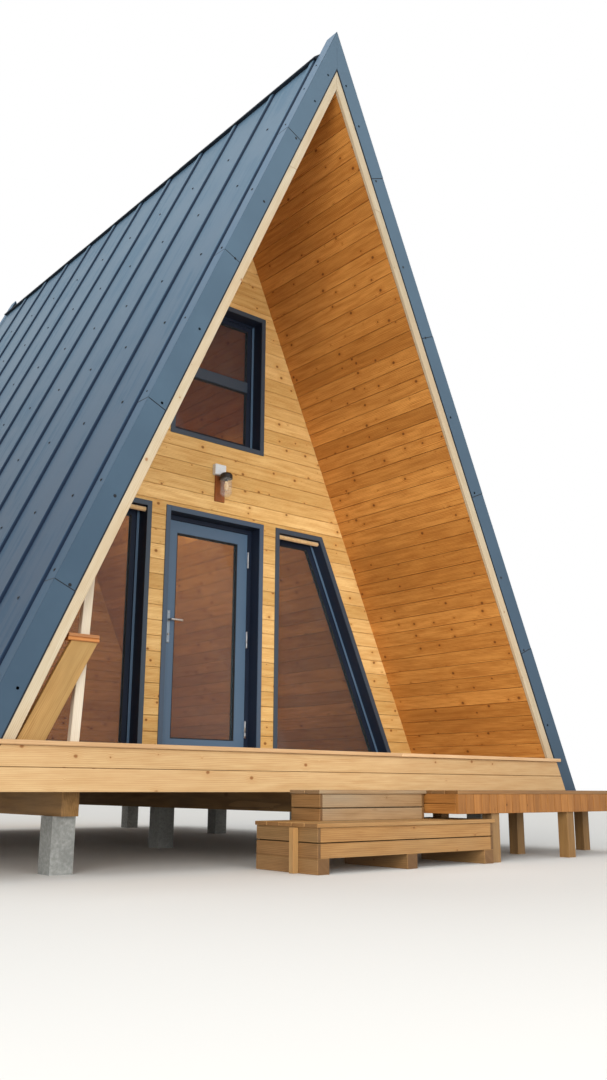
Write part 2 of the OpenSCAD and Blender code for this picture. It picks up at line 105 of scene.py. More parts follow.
@dataclass(frozen=True)
class CabinSizes:
    """Sizes of the cabin in metres, read from the frame where a node gives them."""

    shift: float
    deck: float
    foot: float
    sill: float = 0.012
    seal_depth: float = 0.006
    face_trim: float = 0.010
    rise: float = 6.330
    width: float = 5.636
    length: float = 6.850
    sheet: float = 0.037
    panel: float = 0.200
    barge: float = 0.030
    barge_show: float = 0.074
    trim: float = 0.006
    trim_top: float = 0.130
    fit: float = 0.0003
    flange: float = 0.046
    lining: float = 0.020
    win_face: float = 0.070
    window_strip: float = 0.276

    @classmethod
    def from_frame(cls) -> "CabinSizes":
        """Reads the levels and the front edge from the CAD nodes.

        Returns:
            The sizes.
        """
        return cls(
            shift=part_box("barge_front")[0].y,
            deck=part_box("deck_boards")[1].z,
            foot=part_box("deck_fascia")[0].z,
        )

    @property
    def peak(self) -> float:
        """Height of the roof's peak."""
        return self.deck + self.rise

    @property
    def slope(self) -> float:
        """Rise of the roof over its run."""
        return 2 * self.rise / self.width

    @property
    def roof(self) -> float:
        """Thickness of the whole roof, across the slope."""
        return self.sheet + self.panel

    @property
    def cos(self) -> float:
        """Cosine of the roof's pitch."""
        return 1 / math.hypot(1, self.slope)

    @property
    def sin(self) -> float:
        """Sine of the roof's pitch."""
        return self.slope / math.hypot(1, self.slope)

    def half(self, z: float, depth: float) -> float:
        """Half the roof's width at a height, on a plane that lies that deep below its face."""
        return (self.peak - depth / self.cos - z) / self.slope

    def apex(self, depth: float) -> float:
        """Height at which the two planes of that depth meet."""
        return self.peak - depth / self.cos

    def y(self, value: float) -> float:
        """Turns a distance behind the roof's front edge into a Y of the frame."""
        return value + self.shift

    def out(self, side: int) -> Vector:
        """Direction straight out of a slope, 1 for the right one and -1 for the left one."""
        return Vector((side * self.sin, 0, self.cos))

    def on_slope(self, side: int, run: float, depth: float, y: float) -> Vector:
        """Gives a point on a roof slope.

        Args:
            side: 1 for right, -1 for left.
            run: Distance up the slope from the level of the deck.
            depth: Distance below the sheet's face, negative above it.
            y: Distance behind the roof's front edge.

        Returns:
            The point in the frame.
        """
        x = self.half(self.deck, 0) - run * self.cos - depth * self.sin
        z = self.deck + run * self.sin - depth * self.cos
        return Vector((side * x, self.y(y), z))


# Node trees


class Node(Enum):
    """The nodes used here: type, inputs in the order of the values, output and settings."""

    ADD = ("Math", (0, 1), 0, {"operation": "ADD"})
    SUBTRACT = ("Math", (0, 1), 0, {"operation": "SUBTRACT"})
    MULTIPLY = ("Math", (0, 1), 0, {"operation": "MULTIPLY"})
    DIVIDE = ("Math", (0, 1), 0, {"operation": "DIVIDE"})
    SHARE = ("Math", (0, 1), 0, {"operation": "DIVIDE", "use_clamp": True})
    FRACT = ("Math", (0,), 0, {"operation": "FRACT"})
    LARGER = ("Math", (0, 1), 0, {"operation": "MAXIMUM"})
    MIX = ("Mix", (0, 6, 7), 2, {"data_type": "RGBA"})
    STAIN = ("Mix", (0, 6, 7), 2, {"data_type": "RGBA", "blend_type": "MULTIPLY"})
    RANGE = ("MapRange", range(5), 0, {"interpolation_type": "SMOOTHSTEP"})
    NOISE = ("TexNoise", ("Vector", "Scale", "Detail", "Roughness"), 0, {})
    RINGS = (
        "TexWave",
        ("Vector", "Scale", "Distortion", "Detail", "Detail Scale", "Detail Roughness"),
        1,
        {"bands_direction": "Y", "wave_profile": "SAW"},
    )
    CELLS = ("TexVoronoi", ("Vector", "Scale", "Randomness"), "Distance", {})
    FLAT_CELLS = (*CELLS[:3], {"voronoi_dimensions": "2D"})
    JOIN = ("CombineXYZ", (0, 1, 2), 0, {})
    SPLIT = ("SeparateXYZ", (0,), 0, {})
    SPLIT_COLOUR = ("SeparateColor", (0,), 0, {})
    PLACE = ("TexCoord", (), "Object", {})
    GRAIN = ("UVMap", (), 0, {"uv_map": "grain"})
    BOARD = ("Attribute", (), "Color", {"attribute_name": "board"})
    BUMP = ("Bump", ("Height", "Strength", "Distance", "Normal"), 0, {})
    SHADER = ("BsdfPrincipled", (), 0, {})
    MATERIAL = ("OutputMaterial", (0,), None, {})
    RAYS = ("LightPath", (), "Is Camera Ray", {})
    BACKGROUND = ("Background", (0, 1), 0, {})
    CHOICE = ("MixShader", (0, 1, 2), 0, {})
    WORLD = ("OutputWorld", (0,), None, {})


class Graph:
    """Node tree of a material or of the studio's world."""

    def __init__(self, tree: bpy.types.NodeTree) -> None:
        """Empties the tree."""
        self.tree = tree
        self.tree.nodes.clear()

    def add(self, kind: Node, *values: object, **named: object) -> Socket | None:
        """Adds a node, sets it up and links it.

        Args:
            kind: Which node.
            *values: Values or sockets for the kind's inputs, in their order.
            **named: Values or sockets for other inputs, by name.

        Returns:
            The kind's output. Its node has the others.
        """
        name, inputs, output, settings = kind.value
        node = self.tree.nodes.new(f"ShaderNode{name}")
        for key, setting in settings.items():
            setattr(node, key, setting)
        for key, value in [*zip(inputs, values), *named.items()]:
            if isinstance(value, Socket):
                self.tree.links.new(value, node.inputs[key])
            else:
                node.inputs[key].default_value = value
        return None if output is None else node.outputs[output]

    def weighted(self, *terms: tuple[Socket, float]) -> Socket:
        """Adds up patterns, each times its weight.

        Args:
            *terms: Pattern and weight of each.

        Returns:
            The sum.
        """
        total = None
        for pattern, weight in terms:
            part = self.add(Node.MULTIPLY, pattern, weight)
            total = part if total is None else self.add(Node.ADD, total, part)
        return total

    def stretched(self, parts: Sequence[Socket], sizes_mm: Point, detail: float) -> Socket:
        """Makes noise whose grains have their own size in millimetres along each coordinate."""
        scaled = [self.add(Node.MULTIPLY, p, scale(mm)) for p, mm in zip(parts, sizes_mm)]
        return self.add(Node.NOISE, self.add(Node.JOIN, *scaled), 1.0, detail, SOFT)


# Finishes


class Surface:
    """Any real surface; what it is made of says what goes into the shader."""

    name: str

    def inputs(self, g: Graph) -> dict[str, object]:
        """Works out the shader's inputs in a graph."""
        raise NotImplementedError

    def material(self) -> bpy.types.Material:
        """Builds the material.

        Returns:
            The material.
        """
        material = bpy.data.materials.new(self.name)
        material.use_nodes = True
        g = Graph(material.node_tree)
        g.add(Node.MATERIAL, g.add(Node.SHADER, **self.inputs(g)))
        return material


@dataclass(frozen=True)
class Timber(Surface):
    """Planed softwood: growth rings, fibres, knots, and a tint of its own for each board."""

    name: str
    light: str
    dark: str
    tint_low: str = "#ded8d0"
    knot: str = "#6b3f1d"
    ring_mm: float = 11.0
    knot_cell: float = 0.27
    knot_mm: float = 12.0
    contrast: float = 1.0
    patina: str = "#8f7f68"
    patina_share: float = 0.15
    roughness: float = 0.58
    axis: Axis = Axis.BOARD

    def inputs(self, g: Graph) -> dict[str, object]:
        """Works out grain, knots, tint and patina.

        Args:
            g: The graph.

        Returns:
            The shader's inputs.
        """
        end = None
        if self.axis is Axis.BOARD:
            along, across, _ = g.add(Node.SPLIT, g.add(Node.GRAIN)).node.outputs
            board = g.add(Node.SPLIT_COLOUR, g.add(Node.BOARD)).node.outputs
            depth = g.add(Node.MULTIPLY, board[1], 3.0)
            tint, end = board[0], board[2]
        else:
            place = g.add(Node.PLACE)
            parts = g.add(Node.SPLIT, place).node.outputs
            order = [self.axis.value] + [i for i in range(3) if i != self.axis.value]
            along, across, depth = (parts[i] for i in order)
            tint = g.add(Node.NOISE, place, scale(769.23), 1.0, SOFT)
        halo, core = self._knots(g, along, across, depth)
        # The rings swing up to 10 mm round a knot
        across = g.weighted((halo, 0.010), (across, 1.0))
        parts = (along, across, depth)
        flow = g.add(
            Node.JOIN, g.add(Node.MULTIPLY, along, 0.045), across, g.add(Node.MULTIPLY, depth, 0.6)
        )
        rings = g.add(Node.RINGS, flow, BAND * scale(self.ring_mm), 9.0, 2.0, 0.55, 0.5)
        streaks = g.stretched(parts, (312.5, 33.3333, 33.3333), 3.0)
        # Real fibres are a tenth of a millimetre wide, and are drawn as wide as they need to show
        fibres = g.stretched(parts, (100.0, 2.38095, 2.38095), 2.0)
        broad = g.stretched(parts, (1111.11, 384.615, 384.615), 2.0)
        grain = g.weighted((rings, 0.34), (streaks, 0.62), (fibres, 0.2))
        middle, half = 0.58, 0.29 / self.contrast
        share = g.add(Node.RANGE, grain, middle - half, middle + half)
        colour = g.add(Node.MIX, share, linear(self.light), linear(self.dark))
        board_tint = g.add(Node.MIX, tint, linear(self.tint_low), linear("#ffffff"))
        colour = g.add(Node.STAIN, 1.0, colour, board_tint)
        worn = g.add(Node.RANGE, broad, 0.35, 0.8, 0.0, self.patina_share * 2)
        colour = g.add(Node.MIX, worn, colour, linear(self.patina))
        stains = [(halo, 0.7, self.dark), (core, 0.85, self.knot)]
        if end is not None:
            stains.append((end, 0.55, self.knot))
        for where, strength, stain in stains:
            share = g.add(Node.MULTIPLY, where, strength)
            colour = g.add(Node.MIX, share, colour, linear(stain))
        low, high = self.roughness - 0.08, self.roughness + 0.1
        height = g.weighted((fibres, 0.6), (rings, 0.4))
        return {
            "Base Color": colour,
            "Roughness": g.add(Node.RANGE, g.add(Node.ADD, fibres, core), 0.2, 1.2, low, high),
            "Normal": g.add(Node.BUMP, height, 0.35, 0.0009),
            "Specular IOR Level": 0.35,
        }

    def _knots(self, g: Graph, along: Socket, across: Socket, depth: Socket) -> list[Socket]:
        """Scatters knots over the boards.

        Args:
            g: The graph.
            along: Position along the board.
            across: Position across it.
            depth: Position in its tone.

        Returns:
            The darker grain round the knots, and the knots themselves.
        """
        where = g.add(Node.JOIN, g.add(Node.MULTIPLY, along, 0.82), across, depth)
        kind = Node.FLAT_CELLS if self.axis is Axis.BOARD else Node.CELLS
        distance = g.add(kind, where, 1.0 / self.knot_cell, 1.0)
        luck = g.add(Node.SPLIT_COLOUR, distance.node.outputs["Color"])
        # Real knots are as big, and the small ones are drawn as coarse as they need to show
        full = self.knot_mm / 1000 / self.knot_cell
        radius = g.add(Node.RANGE, luck, 0.1, 0.9, full * 0.28, full * 1.1)
        wobble = g.add(Node.NOISE, where, scale(18.1818), 2.0, SOFT)
        far = g.weighted((distance, 1.0), (wobble, 0.022))
        rounds = []
        for reach, edge in ((3.0, 2.4), (1.0, 0.45)):
            inside = g.add(Node.SUBTRACT, g.add(Node.MULTIPLY, radius, reach), far)
            rounds.append(g.add(Node.SHARE, inside, g.add(Node.MULTIPLY, radius, edge)))
        return rounds


@dataclass(frozen=True)
class PaintedMetal(Surface):
    """Colour-coated steel or aluminium with a matt film, dust and rain streaks."""

    name: str
    colour: str
    dust: str
    roughness: float = 0.42
    dust_share: float = 0.18
    waves: float = 0.0
    specular: float = 0.5
    painted_top_light: float = 0.0
    rib_shade: str = ""
    rib_first: float = -2.3555
    rib_pitch: float = 0.590

    def _paint_rib_shade(self, g: Graph, y: Socket, colour: Socket) -> Socket:
        """Paints shade on the front foot and flank of each rib.

        Args:
            g: The graph.
            y: Position along the cabin.
            colour: The paint so far.

        Returns:
            The colour with the painted shade.
        """
        from_rib = g.add(Node.SUBTRACT, y, self.rib_first - 0.014)
        turn = g.add(Node.FRACT, g.add(Node.DIVIDE, from_rib, self.rib_pitch))
        near = g.add(Node.MULTIPLY, turn, self.rib_pitch)
        rise = g.add(Node.RANGE, near, 0.0, 0.008)
        fall = g.add(Node.RANGE, near, 0.020, 0.036, 1.0, 0.0)
        line = g.add(Node.MULTIPLY, g.add(Node.MULTIPLY, rise, fall), 0.95)
        # The first rib stands by the trim, and the sheet in front of its front flank gets painted
        # shade
        flank = self.rib_first - 0.569
        edge = g.add(Node.RANGE, y, flank - 0.008, flank, 0.9, 0.0)
        return g.add(Node.MIX, g.add(Node.LARGER, line, edge), colour, linear(self.rib_shade))

    def inputs(self, g: Graph) -> dict[str, object]:
        """Works out paint, dust, streaks, painted light towards the top, painted shade at the ribs
        and the sheet's slight waves.

        Args:
            g: The graph.

        Returns:
            The shader's inputs.
        """
        place = g.add(Node.PLACE)
        x, y, z = g.add(Node.SPLIT, place).node.outputs
        dust = linear(self.dust)
        streak = g.stretched((x, y, z), (833.333, 62.5, 1250.0), 4.0)
        cloud = g.add(Node.NOISE, place, scale(588.235), 4.0, SOFT)
        # Paint has a grain of a few hundredths of a millimetre, drawn as coarse as it needs to show
        speck = g.add(Node.NOISE, place, scale(2.38095), 2.0, SOFT)
        patches = g.add(Node.RANGE, cloud, 0.35, 0.7)
        dirty = g.add(Node.MULTIPLY, g.add(Node.RANGE, streak, 0.42, 0.75), patches)
        share = g.add(Node.MULTIPLY, dirty, self.dust_share * 2)
        colour = g.add(Node.MIX, share, linear(self.colour), dust)
        colour = g.add(Node.MIX, g.add(Node.RANGE, cloud, 0.3, 0.7, 0.0, 0.05), colour, dust)
        # Painted light: the paint goes paler with height, towards the dust colour
        if self.painted_top_light:
            painted_light_share = g.add(Node.RANGE, z, 1.0, 7.0, 0.0, self.painted_top_light)
            colour = g.add(Node.MIX, painted_light_share, colour, dust)
        # Painted shade along the ribs' front feet and flanks
        if self.rib_shade:
            colour = self._paint_rib_shade(g, y, colour)
        low, high = self.roughness - 0.06, self.roughness + 0.14
        normal = g.add(Node.BUMP, speck, 0.12, 0.0003)
        if self.waves:
            swell = g.add(Node.NOISE, place, scale(416.667), 1.0, SOFT)
            normal = g.add(Node.BUMP, swell, self.waves, 0.02, normal)
        return {
            "Base Color": colour,
            "Roughness": g.add(Node.RANGE, g.add(Node.ADD, cloud, dirty), 0.3, 1.3, low, high),
            "Normal": normal,
            "Specular IOR Level": self.specular,
        }


@dataclass(frozen=True)
class BareMetal(Surface):
    """Brushed or polished metal with fine scratches."""

    name: str
    colour: str
    roughness: float

    def inputs(self, g: Graph) -> dict[str, object]:
        """Works out the scratches.

        Args:
            g: The graph.

        Returns:
            The shader's inputs.
        """
        parts = g.add(Node.SPLIT, g.add(Node.PLACE)).node.outputs
        # Brush marks are finer than this, and are drawn as coarse as they need to show
        scratch = g.stretched(parts, (1.66667, 1.66667, 33.3333), 3.0)
        dull = g.add(Node.RANGE, scratch, 0.3, 0.8, 0.0, 0.25)
        high = self.roughness + 0.14
        return {
            "Base Color": g.add(Node.MIX, dull, linear(self.colour), linear("#8d9093")),
            "Metallic": 1.0,
            "Roughness": g.add(Node.RANGE, scratch, 0.3, 0.8, self.roughness, high),
            "Normal": g.add(Node.BUMP, scratch, 0.1, 0.0002),
        }


@dataclass(frozen=True)
class Moulded(Surface):
    """Plain moulded or cast stuff: plastic, rubber, concrete, foam or cloth."""

    name: str
    colour: str
    shade: str
    roughness: float = 0.5
    grain_mm: float = 16.6667
    bump: float = 0.1
    bump_mm: float = 0.4
    sheen: float = 0.0

    def inputs(self, g: Graph) -> dict[str, object]:
        """Works out the grain and its broad clouds.

        Args:
            g: The graph.

        Returns:
            The shader's inputs.
        """
        place = g.add(Node.PLACE)
        fine = g.add(Node.NOISE, place, scale(self.grain_mm), 5.0, 0.62)
        broad = g.add(Node.NOISE, place, scale(self.grain_mm * 18), 3.0, SOFT)
        both = g.add(Node.RANGE, g.weighted((fine, 0.5), (broad, 0.5)), 0.35, 0.65)
        low, high = self.roughness - 0.05, self.roughness + 0.08
        return {
            "Base Color": g.add(Node.MIX, both, linear(self.colour), linear(self.shade)),
            "Roughness": g.add(Node.RANGE, fine, 0.3, 0.7, low, high),
            "Normal": g.add(Node.BUMP, fine, self.bump, self.bump_mm / 1000),
            "Sheen Weight": self.sheen,
        }


@dataclass(frozen=True)
class PaneGlass(Surface):
    """Glazing: glossy, with what is behind it showing through."""

    name: str
    colour: str
    alpha: float
    ior: float
    roughness: float = 0.01

    def inputs(self, g: Graph) -> dict[str, object]:
        """Works out a thin film of dust and the slight roll of the pane.

        Args:
            g: The graph.

        Returns:
            The shader's inputs.
        """
        place = g.add(Node.PLACE)
        film = g.add(Node.NOISE, place, scale(333.333), 3.0, SOFT)
        roll = g.add(Node.NOISE, place, scale(909.091), 1.0, SOFT)
        dusty = g.add(Node.RANGE, film, 0.45, 0.8, 0.0, 0.12)
        high = self.roughness + 0.05
        return {
            "Base Color": g.add(Node.MIX, dusty, linear(self.colour), linear("#8b8f8c")),
            "Roughness": g.add(Node.RANGE, film, 0.4, 0.8, self.roughness, high),
            "Normal": g.add(Node.BUMP, roll, 0.04, 0.004),
            "Alpha": self.alpha,
            "IOR": self.ior,
        }


@dataclass(frozen=True)
class FloorPaint(Surface):
    """Plain matt paint of the studio's floor."""

    name: str
    colour: str

    def inputs(self, g: Graph) -> dict[str, object]:
        """Gives the one plain colour."""
        return {"Base Color": linear(self.colour), "Roughness": 0.9, "Specular IOR Level": 0.1}


class Finish(Enum):
    """Every finish of the cabin, by the real material it stands for."""

    # Coil-coated steel sheet: a matt blue-grey film, paler towards the top as painted light, with
    # painted shade at each rib's front foot
    ROOF = PaintedMetal(
        "coated_steel_roof", "#2d4257", "#7796ad", 0.47, 0.04, 0.10, 0.13, 0.62, "#0f1c30"
    )
    # The same sheet folded into edge trims: flatter, with a soft broad gloss, and paler towards the
    # top as painted light
    TRIM = PaintedMetal("coated_steel_trim", "#3a4c5c", "#718a9c", 0.46, 0.05, 0.04, 0.16, 0.34)
    # The trim's strip on top of the sheets: the trim's own metal, coloured bluer and paler towards
    # the top as painted light
    LIT_STRIP = PaintedMetal("coated_steel_strip_painted_light", "#374e62", "#86a0b8", 0.5, 0.05, 0.0, 0.1, 0.60)
    # Folded ridge cap, nearly black; the same finish paints the shade in the trims' hems and at
    # their laps
    RIDGE = PaintedMetal("coated_steel_ridge", "#161c24", "#3c4650", 0.55, 0.08, 0.0, 0.3)
    # Lacquered screw heads: small dark dots with a faint gloss
    SCREW = PaintedMetal("painted_screw_head", "#0f141a", "#2c343c", 0.5, 0.05, 0.0, 0.4)
    # Powder-coated aluminium of the window frames: even, dark and satin
    FRAME = PaintedMetal("powder_coated_frame", "#394653", "#56616c", 0.45, 0.06, 0.0, 0.4)
    # The same powder coat on the door's flat trim, coloured lighter and a little bluer as painted
    # light
    LIT_DOOR_TRIM = PaintedMetal("door_trim_painted_light", "#435467", "#64727f", 0.45, 0.06, 0.0, 0.4)
    # Powder coat of the openings' linings and of the frames set in them, painted nearly black as
    # the shade in the reveals
    REVEAL_SHADE = PaintedMetal("lining_painted_shade", "#1c2433", "#36435a", 0.5, 0.06, 0.0, 0.3)
    # Sprayed slate-blue paint of the door leaf: smooth, with a soft gloss at the edges; it also
    # colours the window jambs' painted highlight
    DOOR = PaintedMetal("slate_blue_door_paint", "#4f667d", "#75889b", 0.45, 0.06, 0.0, 0.4)
    # Planed and oiled spruce of the front wall: golden, with brown knots and darker late wood
    CLADDING = Timber(
        "oiled_spruce_cladding", "#f6d492", "#cf9d58", "#e2dac9", knot="#74441c",
        patina="#c2985a", knot_cell=0.180, knot_mm=17.0, contrast=1.2,
    )
    # The same under the roof, oiled darker: orange-brown, board by board a shade apart
    LINING = Timber(
        "oiled_spruce_lining", "#de9f52", "#a7682a", "#dad0c0", knot="#5e3214",
        patina="#96602a", knot_cell=0.190, knot_mm=17.0, contrast=1.25, patina_share=0.18,
    )
    # Planed barge boards left pale: chalky, with little grain
    BARGE = Timber(
        "pale_planed_spruce", "#cac1ab", "#b2a184", "#efe9e2", knot="#8f6038",
        patina="#b99c78", knot_cell=0.30, knot_mm=16.0, patina_share=0.25,
    )
    # Two wide planed larch boards of the fascia: sandy, with a calm grain
    FASCIA = Timber(
        "larch_fascia", "#d3b587", "#b99262", "#eee8e0", knot="#7d4a20",
        patina="#c29a6c", knot_cell=0.30, knot_mm=17.0,
    )
    # Planed nosing at the deck's edge: the palest line of the deck
    NOSING = Timber("larch_nosing", "#e0bd92", "#c79c6e", knot="#8a5a30", patina="#b99a74")
    # Planed deck and floor boards, walked on and a little grey
    DECK = Timber(
        "larch_deck", "#e2c498", "#c8a373", knot="#7f5530", patina="#b9a88c", patina_share=0.3
    )
    # Older sawn boards of the low side deck: brown and dull
    SIDE_DECK = Timber(
        "brown_side_deck", "#9a7042", "#75512f", knot="#553519", patina="#7d694e", patina_share=0.3
    )
    # Upper step's boards, weathered to a greyish tan
    STEP_GREY = Timber(
        "weathered_step", "#af906a", "#886a48", knot="#5f4226", patina="#978a74", patina_share=0.4
    )
    # Lower step's boards, newer and still golden
    STEP_GOLD = Timber(
        "golden_step", "#bf945d", "#9a6e3d", knot="#5f3b20", patina="#9a825c", patina_share=0.25
    )
    # Sawn ends and blocks of the steps, browner and damp
    STEP_SIDE = Timber(
        "brown_step_side", "#a67f52", "#7f5c36", knot="#4a2f1a", patina="#74603f", patina_share=0.3
    )
    # Upright larch boards of the skirt: orange, with a strong grain
    SKIRT = Timber(
        "orange_larch_skirt", "#b47b3f", "#875524", knot="#4f2e14", contrast=1.3, patina="#7f5a30"
    )
    # Pressure-treated leaning board: yellow-brown with a green-brown patina
    PLANK = Timber(
        "treated_plank", "#c79c60", "#99703a", knot="#5f3f1b", patina="#8f7a4e", patina_share=0.3
    )
    # Stained cap of the leaning board: a clear orange
    CAP = Timber("orange_cap_board", "#c9813c", "#a05c22", knot="#5f3412")
    # Planed cream post at the porch's end, almost without knots
    POST = Timber(
        "cream_post", "#f2ebde", "#ddd0b8", knot="#b99562", knot_cell=0.7, contrast=0.7
    )
    # Sawn joists across the cabin: rough and matt
    JOIST = Timber("sawn_joist", "#b98f5a", "#8a6337", axis=Axis.X, roughness=0.75)
    # Sawn bearers along the cabin, darker for the shade they stand in
    BEARER = Timber("sawn_bearer", "#9c7748", "#71522e", axis=Axis.Y, roughness=0.78)
    # Sawn posts under the side deck, with upright grain
    STUD = Timber("sawn_post", "#a37d4c", "#775733", axis=Axis.Z, roughness=0.78)
    # Foam and paper behind the boards: dark, so that the joints show as lines; as battens behind
    # the steps' riser joints it paints the shade in the gap
    CORE = Moulded("panel_core", "#3b2a18", "#2a1d10", 0.8)
    # Cast concrete of the piers: grey clouds and a pitted face
    CONCRETE = Moulded("cast_concrete", "#9b9c98", "#7b7c78", 0.85, 22.2222, 0.4, 1.2)
    # Moulded rubber of seals and washers: black and dull
    RUBBER = Moulded("black_rubber", "#15181b", "#23272b", 0.6, 3.33333)
    # Moulded plastic of the lamp's box: a cool white with a soft gloss
    WHITE = Moulded("white_plastic", "#e6ecee", "#d3dce0", 0.4, 8.33333)
    # Lacquered back plate of the lamp: an even red-brown
    COPPER = Moulded("red_brown_plate", "#9a5a2c", "#6f3d1c", 0.4, 11.1111)
    # Cast metal of the lamp's cap, painted dark, with a fine texture
    DARK = Moulded("dark_cast_metal", "#1b1a19", "#34312c", 0.45, 5.0)
    # Woven cotton of the rolled blinds: warm, matt, with a soft sheen at the edges
    CLOTH = Moulded("blind_cloth", "#d8b888", "#c09c68", 0.85, 2.0, 0.3, 0.5, 0.3)
    # Blown amber glass of the bulb, seen by day
    BULB = Moulded("amber_bulb", "#f0d4a4", "#d9a868", 0.15, 33.3333)
    # Brushed steel of the handle plate: grey, with upright brush marks
    PLATE = BareMetal("brushed_handle_plate", "#9aa7b2", 0.34)
    # Satin stainless steel of the lever and the threshold
    STEEL = BareMetal("satin_steel", "#dfe2e4", 0.24)
    # Chromed hinge knuckles and screws: the brightest spots of the door
    CHROME = BareMetal("polished_chrome", "#f4f6f7", 0.30)
    # Double glazing of the windows and the door: grey-green, with the lined room behind it
    GLASS = PaneGlass("window_glass", "#37464a", 0.38, 1.4)
    # Clear blown jar of the lamp, seen by its outline
    JAR = PaneGlass("clear_jar", "#dfe6e6", 0.13, 1.5)


@dataclass
class Palette:
    """Makes each finish once and hands it out."""

    made: dict[Finish, bpy.types.Material] = field(default_factory=dict)

    def __getitem__(self, finish: Finish) -> bpy.types.Material:
        """Gives the material of a finish.

        Args:
            finish: Which one.

        Returns:
            Its material.
        """
        if finish not in self.made:
            self.made[finish] = finish.value.material()
        return self.made[finish]

    def dress(self, finish: Finish, *nodes: str) -> None:
        """Gives a finish to CAD nodes that keep their shape.

        Args:
            finish: Which one.
            *nodes: Names of the nodes.
        """
        for name in nodes:
            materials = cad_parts[name].data.materials
            materials.clear()
            materials.append(self[finish])


# Mesh building


class Builder:
    """Collects boards, turned parts and plates into one mesh."""

    def __init__(self, name: str, palette: Palette, seed: int) -> None:
        """Starts with no faces.

        Args:
            name: Name of the piece.
            palette: Where its finishes come from.
            seed: Seed of the boards' tints.
        """
        self.name = name
        self.palette = palette
        self.random = random.Random(seed)
        self.verts: list[Vector] = []
        self.faces: list[list[int]] = []
        self.uvs: list[list[Pair]] = []
        self.tints: list[Colour] = []
        self.slots: list[int] = []
        self.smooth: list[bool] = []
        self.finishes: list[Finish] = []

    def luck(self) -> Luck:
        """Draws a board's tint, tone and place in the grain."""
        r = self.random
        return (r.random(), r.random(), r.uniform(0, 40), r.uniform(0, 40))

    def _slot(self, finish: Finish) -> int:
        """Gives the number of a finish on this mesh.

        Args:
            finish: Which one.

        Returns:
            Its number.
        """
        if finish not in self.finishes:
            self.finishes.append(finish)
        return self.finishes.index(finish)

    def _face(
        self,
        points: Sequence[Vector],
        centre: Vector,
        grain: Vector,
        luck: Luck,
        slot: int,
        smooth: bool = False,
    ) -> None:
        """Adds one face with its grain coordinates, or nothing where it has no area.

        Args:
            points: Its corners, going round.
            centre: A point behind it.
            grain: Direction of the grain.
            luck: Tint, tone and place in the grain.
            slot: Number of its finish.
            smooth: Whether it is shaded as round.
        """
        normal = Vector((0, 0, 0))
        for a, b in zip(points, list(points[1:]) + [points[0]]):
            normal += a.cross(b)
        if normal.length < 1e-12:
            return
        normal.normalize()
        middle = sum(points, Vector()) / len(points)
        pts = list(points)
        if normal.dot(middle - centre) < 0:
            pts.reverse()
            normal = -normal
        start = len(self.verts)
        self.verts.extend(pts)
        self.faces.append(list(range(start, start + len(pts))))
        end = abs(normal.dot(grain)) > 0.8
        side = grain.orthogonal().normalized() if end else normal.cross(grain).normalized()
        along = normal.cross(side).normalized() if end else grain
        self.uvs.append([(p.dot(along) + luck[2], p.dot(side) + luck[3]) for p in pts])
        self.tints.append((luck[0], luck[1], 1.0 if end else 0.0, 1.0))
        self.slots.append(slot)
        self.smooth.append(smooth)

    def hexa(
        self,
        corners: Sequence[Vector],
        finish: Finish,
        chamfer: Point = (0.0, 0.002, 0.002),
        luck: Luck | None = None,
        grain: int = 0,
    ) -> None:
        """Adds a six-sided block with chamfered edges.

        Args:
            corners: Its corners, in the order of CORNERS.
            finish: What it is made of.
            chamfer: Inset of the faces along, across and through.
            luck: Tint and place in the grain, or None for new ones.
            grain: Which of the three directions the grain follows.
        """
        luck = luck or self.luck()
        slot = self._slot(finish)
        centre = sum(corners, Vector()) / 8
        bit = (1, 2, 4)
        others = ((1, 2), (0, 2), (0, 1))
        way = (corners[bit[grain]] - corners[0]).normalized()
        spot: dict[tuple[int, int], Vector] = {}
        for c in range(8):
            steps = []
            for axis in range(3):
                step = corners[c ^ bit[axis]] - corners[c]
                size = min(chamfer[axis], step.length * 0.45)
                steps.append(step.normalized() * size if step.length > 1e-9 else Vector())
            for m, (a, b) in enumerate(others):
                spot[c, m] = corners[c] + steps[a] + steps[b]
        rings = []
        for m, (i, j) in enumerate(others):
            a, b = bit[i], bit[j]
            for side in (0, bit[m]):
                rings.append([spot[c, m] for c in (side, side | a, side | a | b, side | b)])
        if max(chamfer) > 0:
            for axis, (a, b) in enumerate(others):
                for c in (0, bit[a], bit[b], bit[a] | bit[b]):
                    d = c | bit[axis]
                    rings.append([spot[c, a], spot[d, a], spot[d, b], spot[c, b]])
            rings += [[spot[c, m] for m in range(3)] for c in range(8)]
        for ring in rings:
            self._face(ring, centre, way, luck, slot)

    def box(
        self,
        low: Sequence[float],
        high: Sequence[float],
        finish: Finish,
        grain: Axis = Axis.X,
        chamfer: float = 0.002,
    ) -> None:
        """Adds a board or block that stands square to the frame.

        Args:
            low: Its lowest corner.
            high: Its highest corner.
            finish: What it is made of.
            grain: Direction of its grain.
            chamfer: Size of its broken edges.
        """
        ends = (low, high)
        corners = [Vector([ends[bit][i] for i, bit in enumerate(bits)]) for bits in CORNERS]
        self.hexa(corners, finish, (chamfer,) * 3, grain=grain.value)

    def planks(
        self, low: Point, high: Point, count: int, gap: float, finish: Finish, soft: float
    ) -> None:
        """Fills a box with boards along X that lie side by side.

        Args:
            low: The box's lowest corner.
            high: Its highest corner.
            count: Number of boards.
            gap: Gap between them.
            finish: What they are made of.
            soft: Size of their broken edges.
        """
        deep = (high[1] - low[1]) / count
        for i in range(count):
            y0 = low[1] + i * deep + (gap / 2 if i else 0.0)
            y1 = low[1] + (i + 1) * deep - (gap / 2 if i < count - 1 else 0.0)
            self.box((low[0], y0, low[2]), (high[0], y1, high[2]), finish, Axis.X, soft)

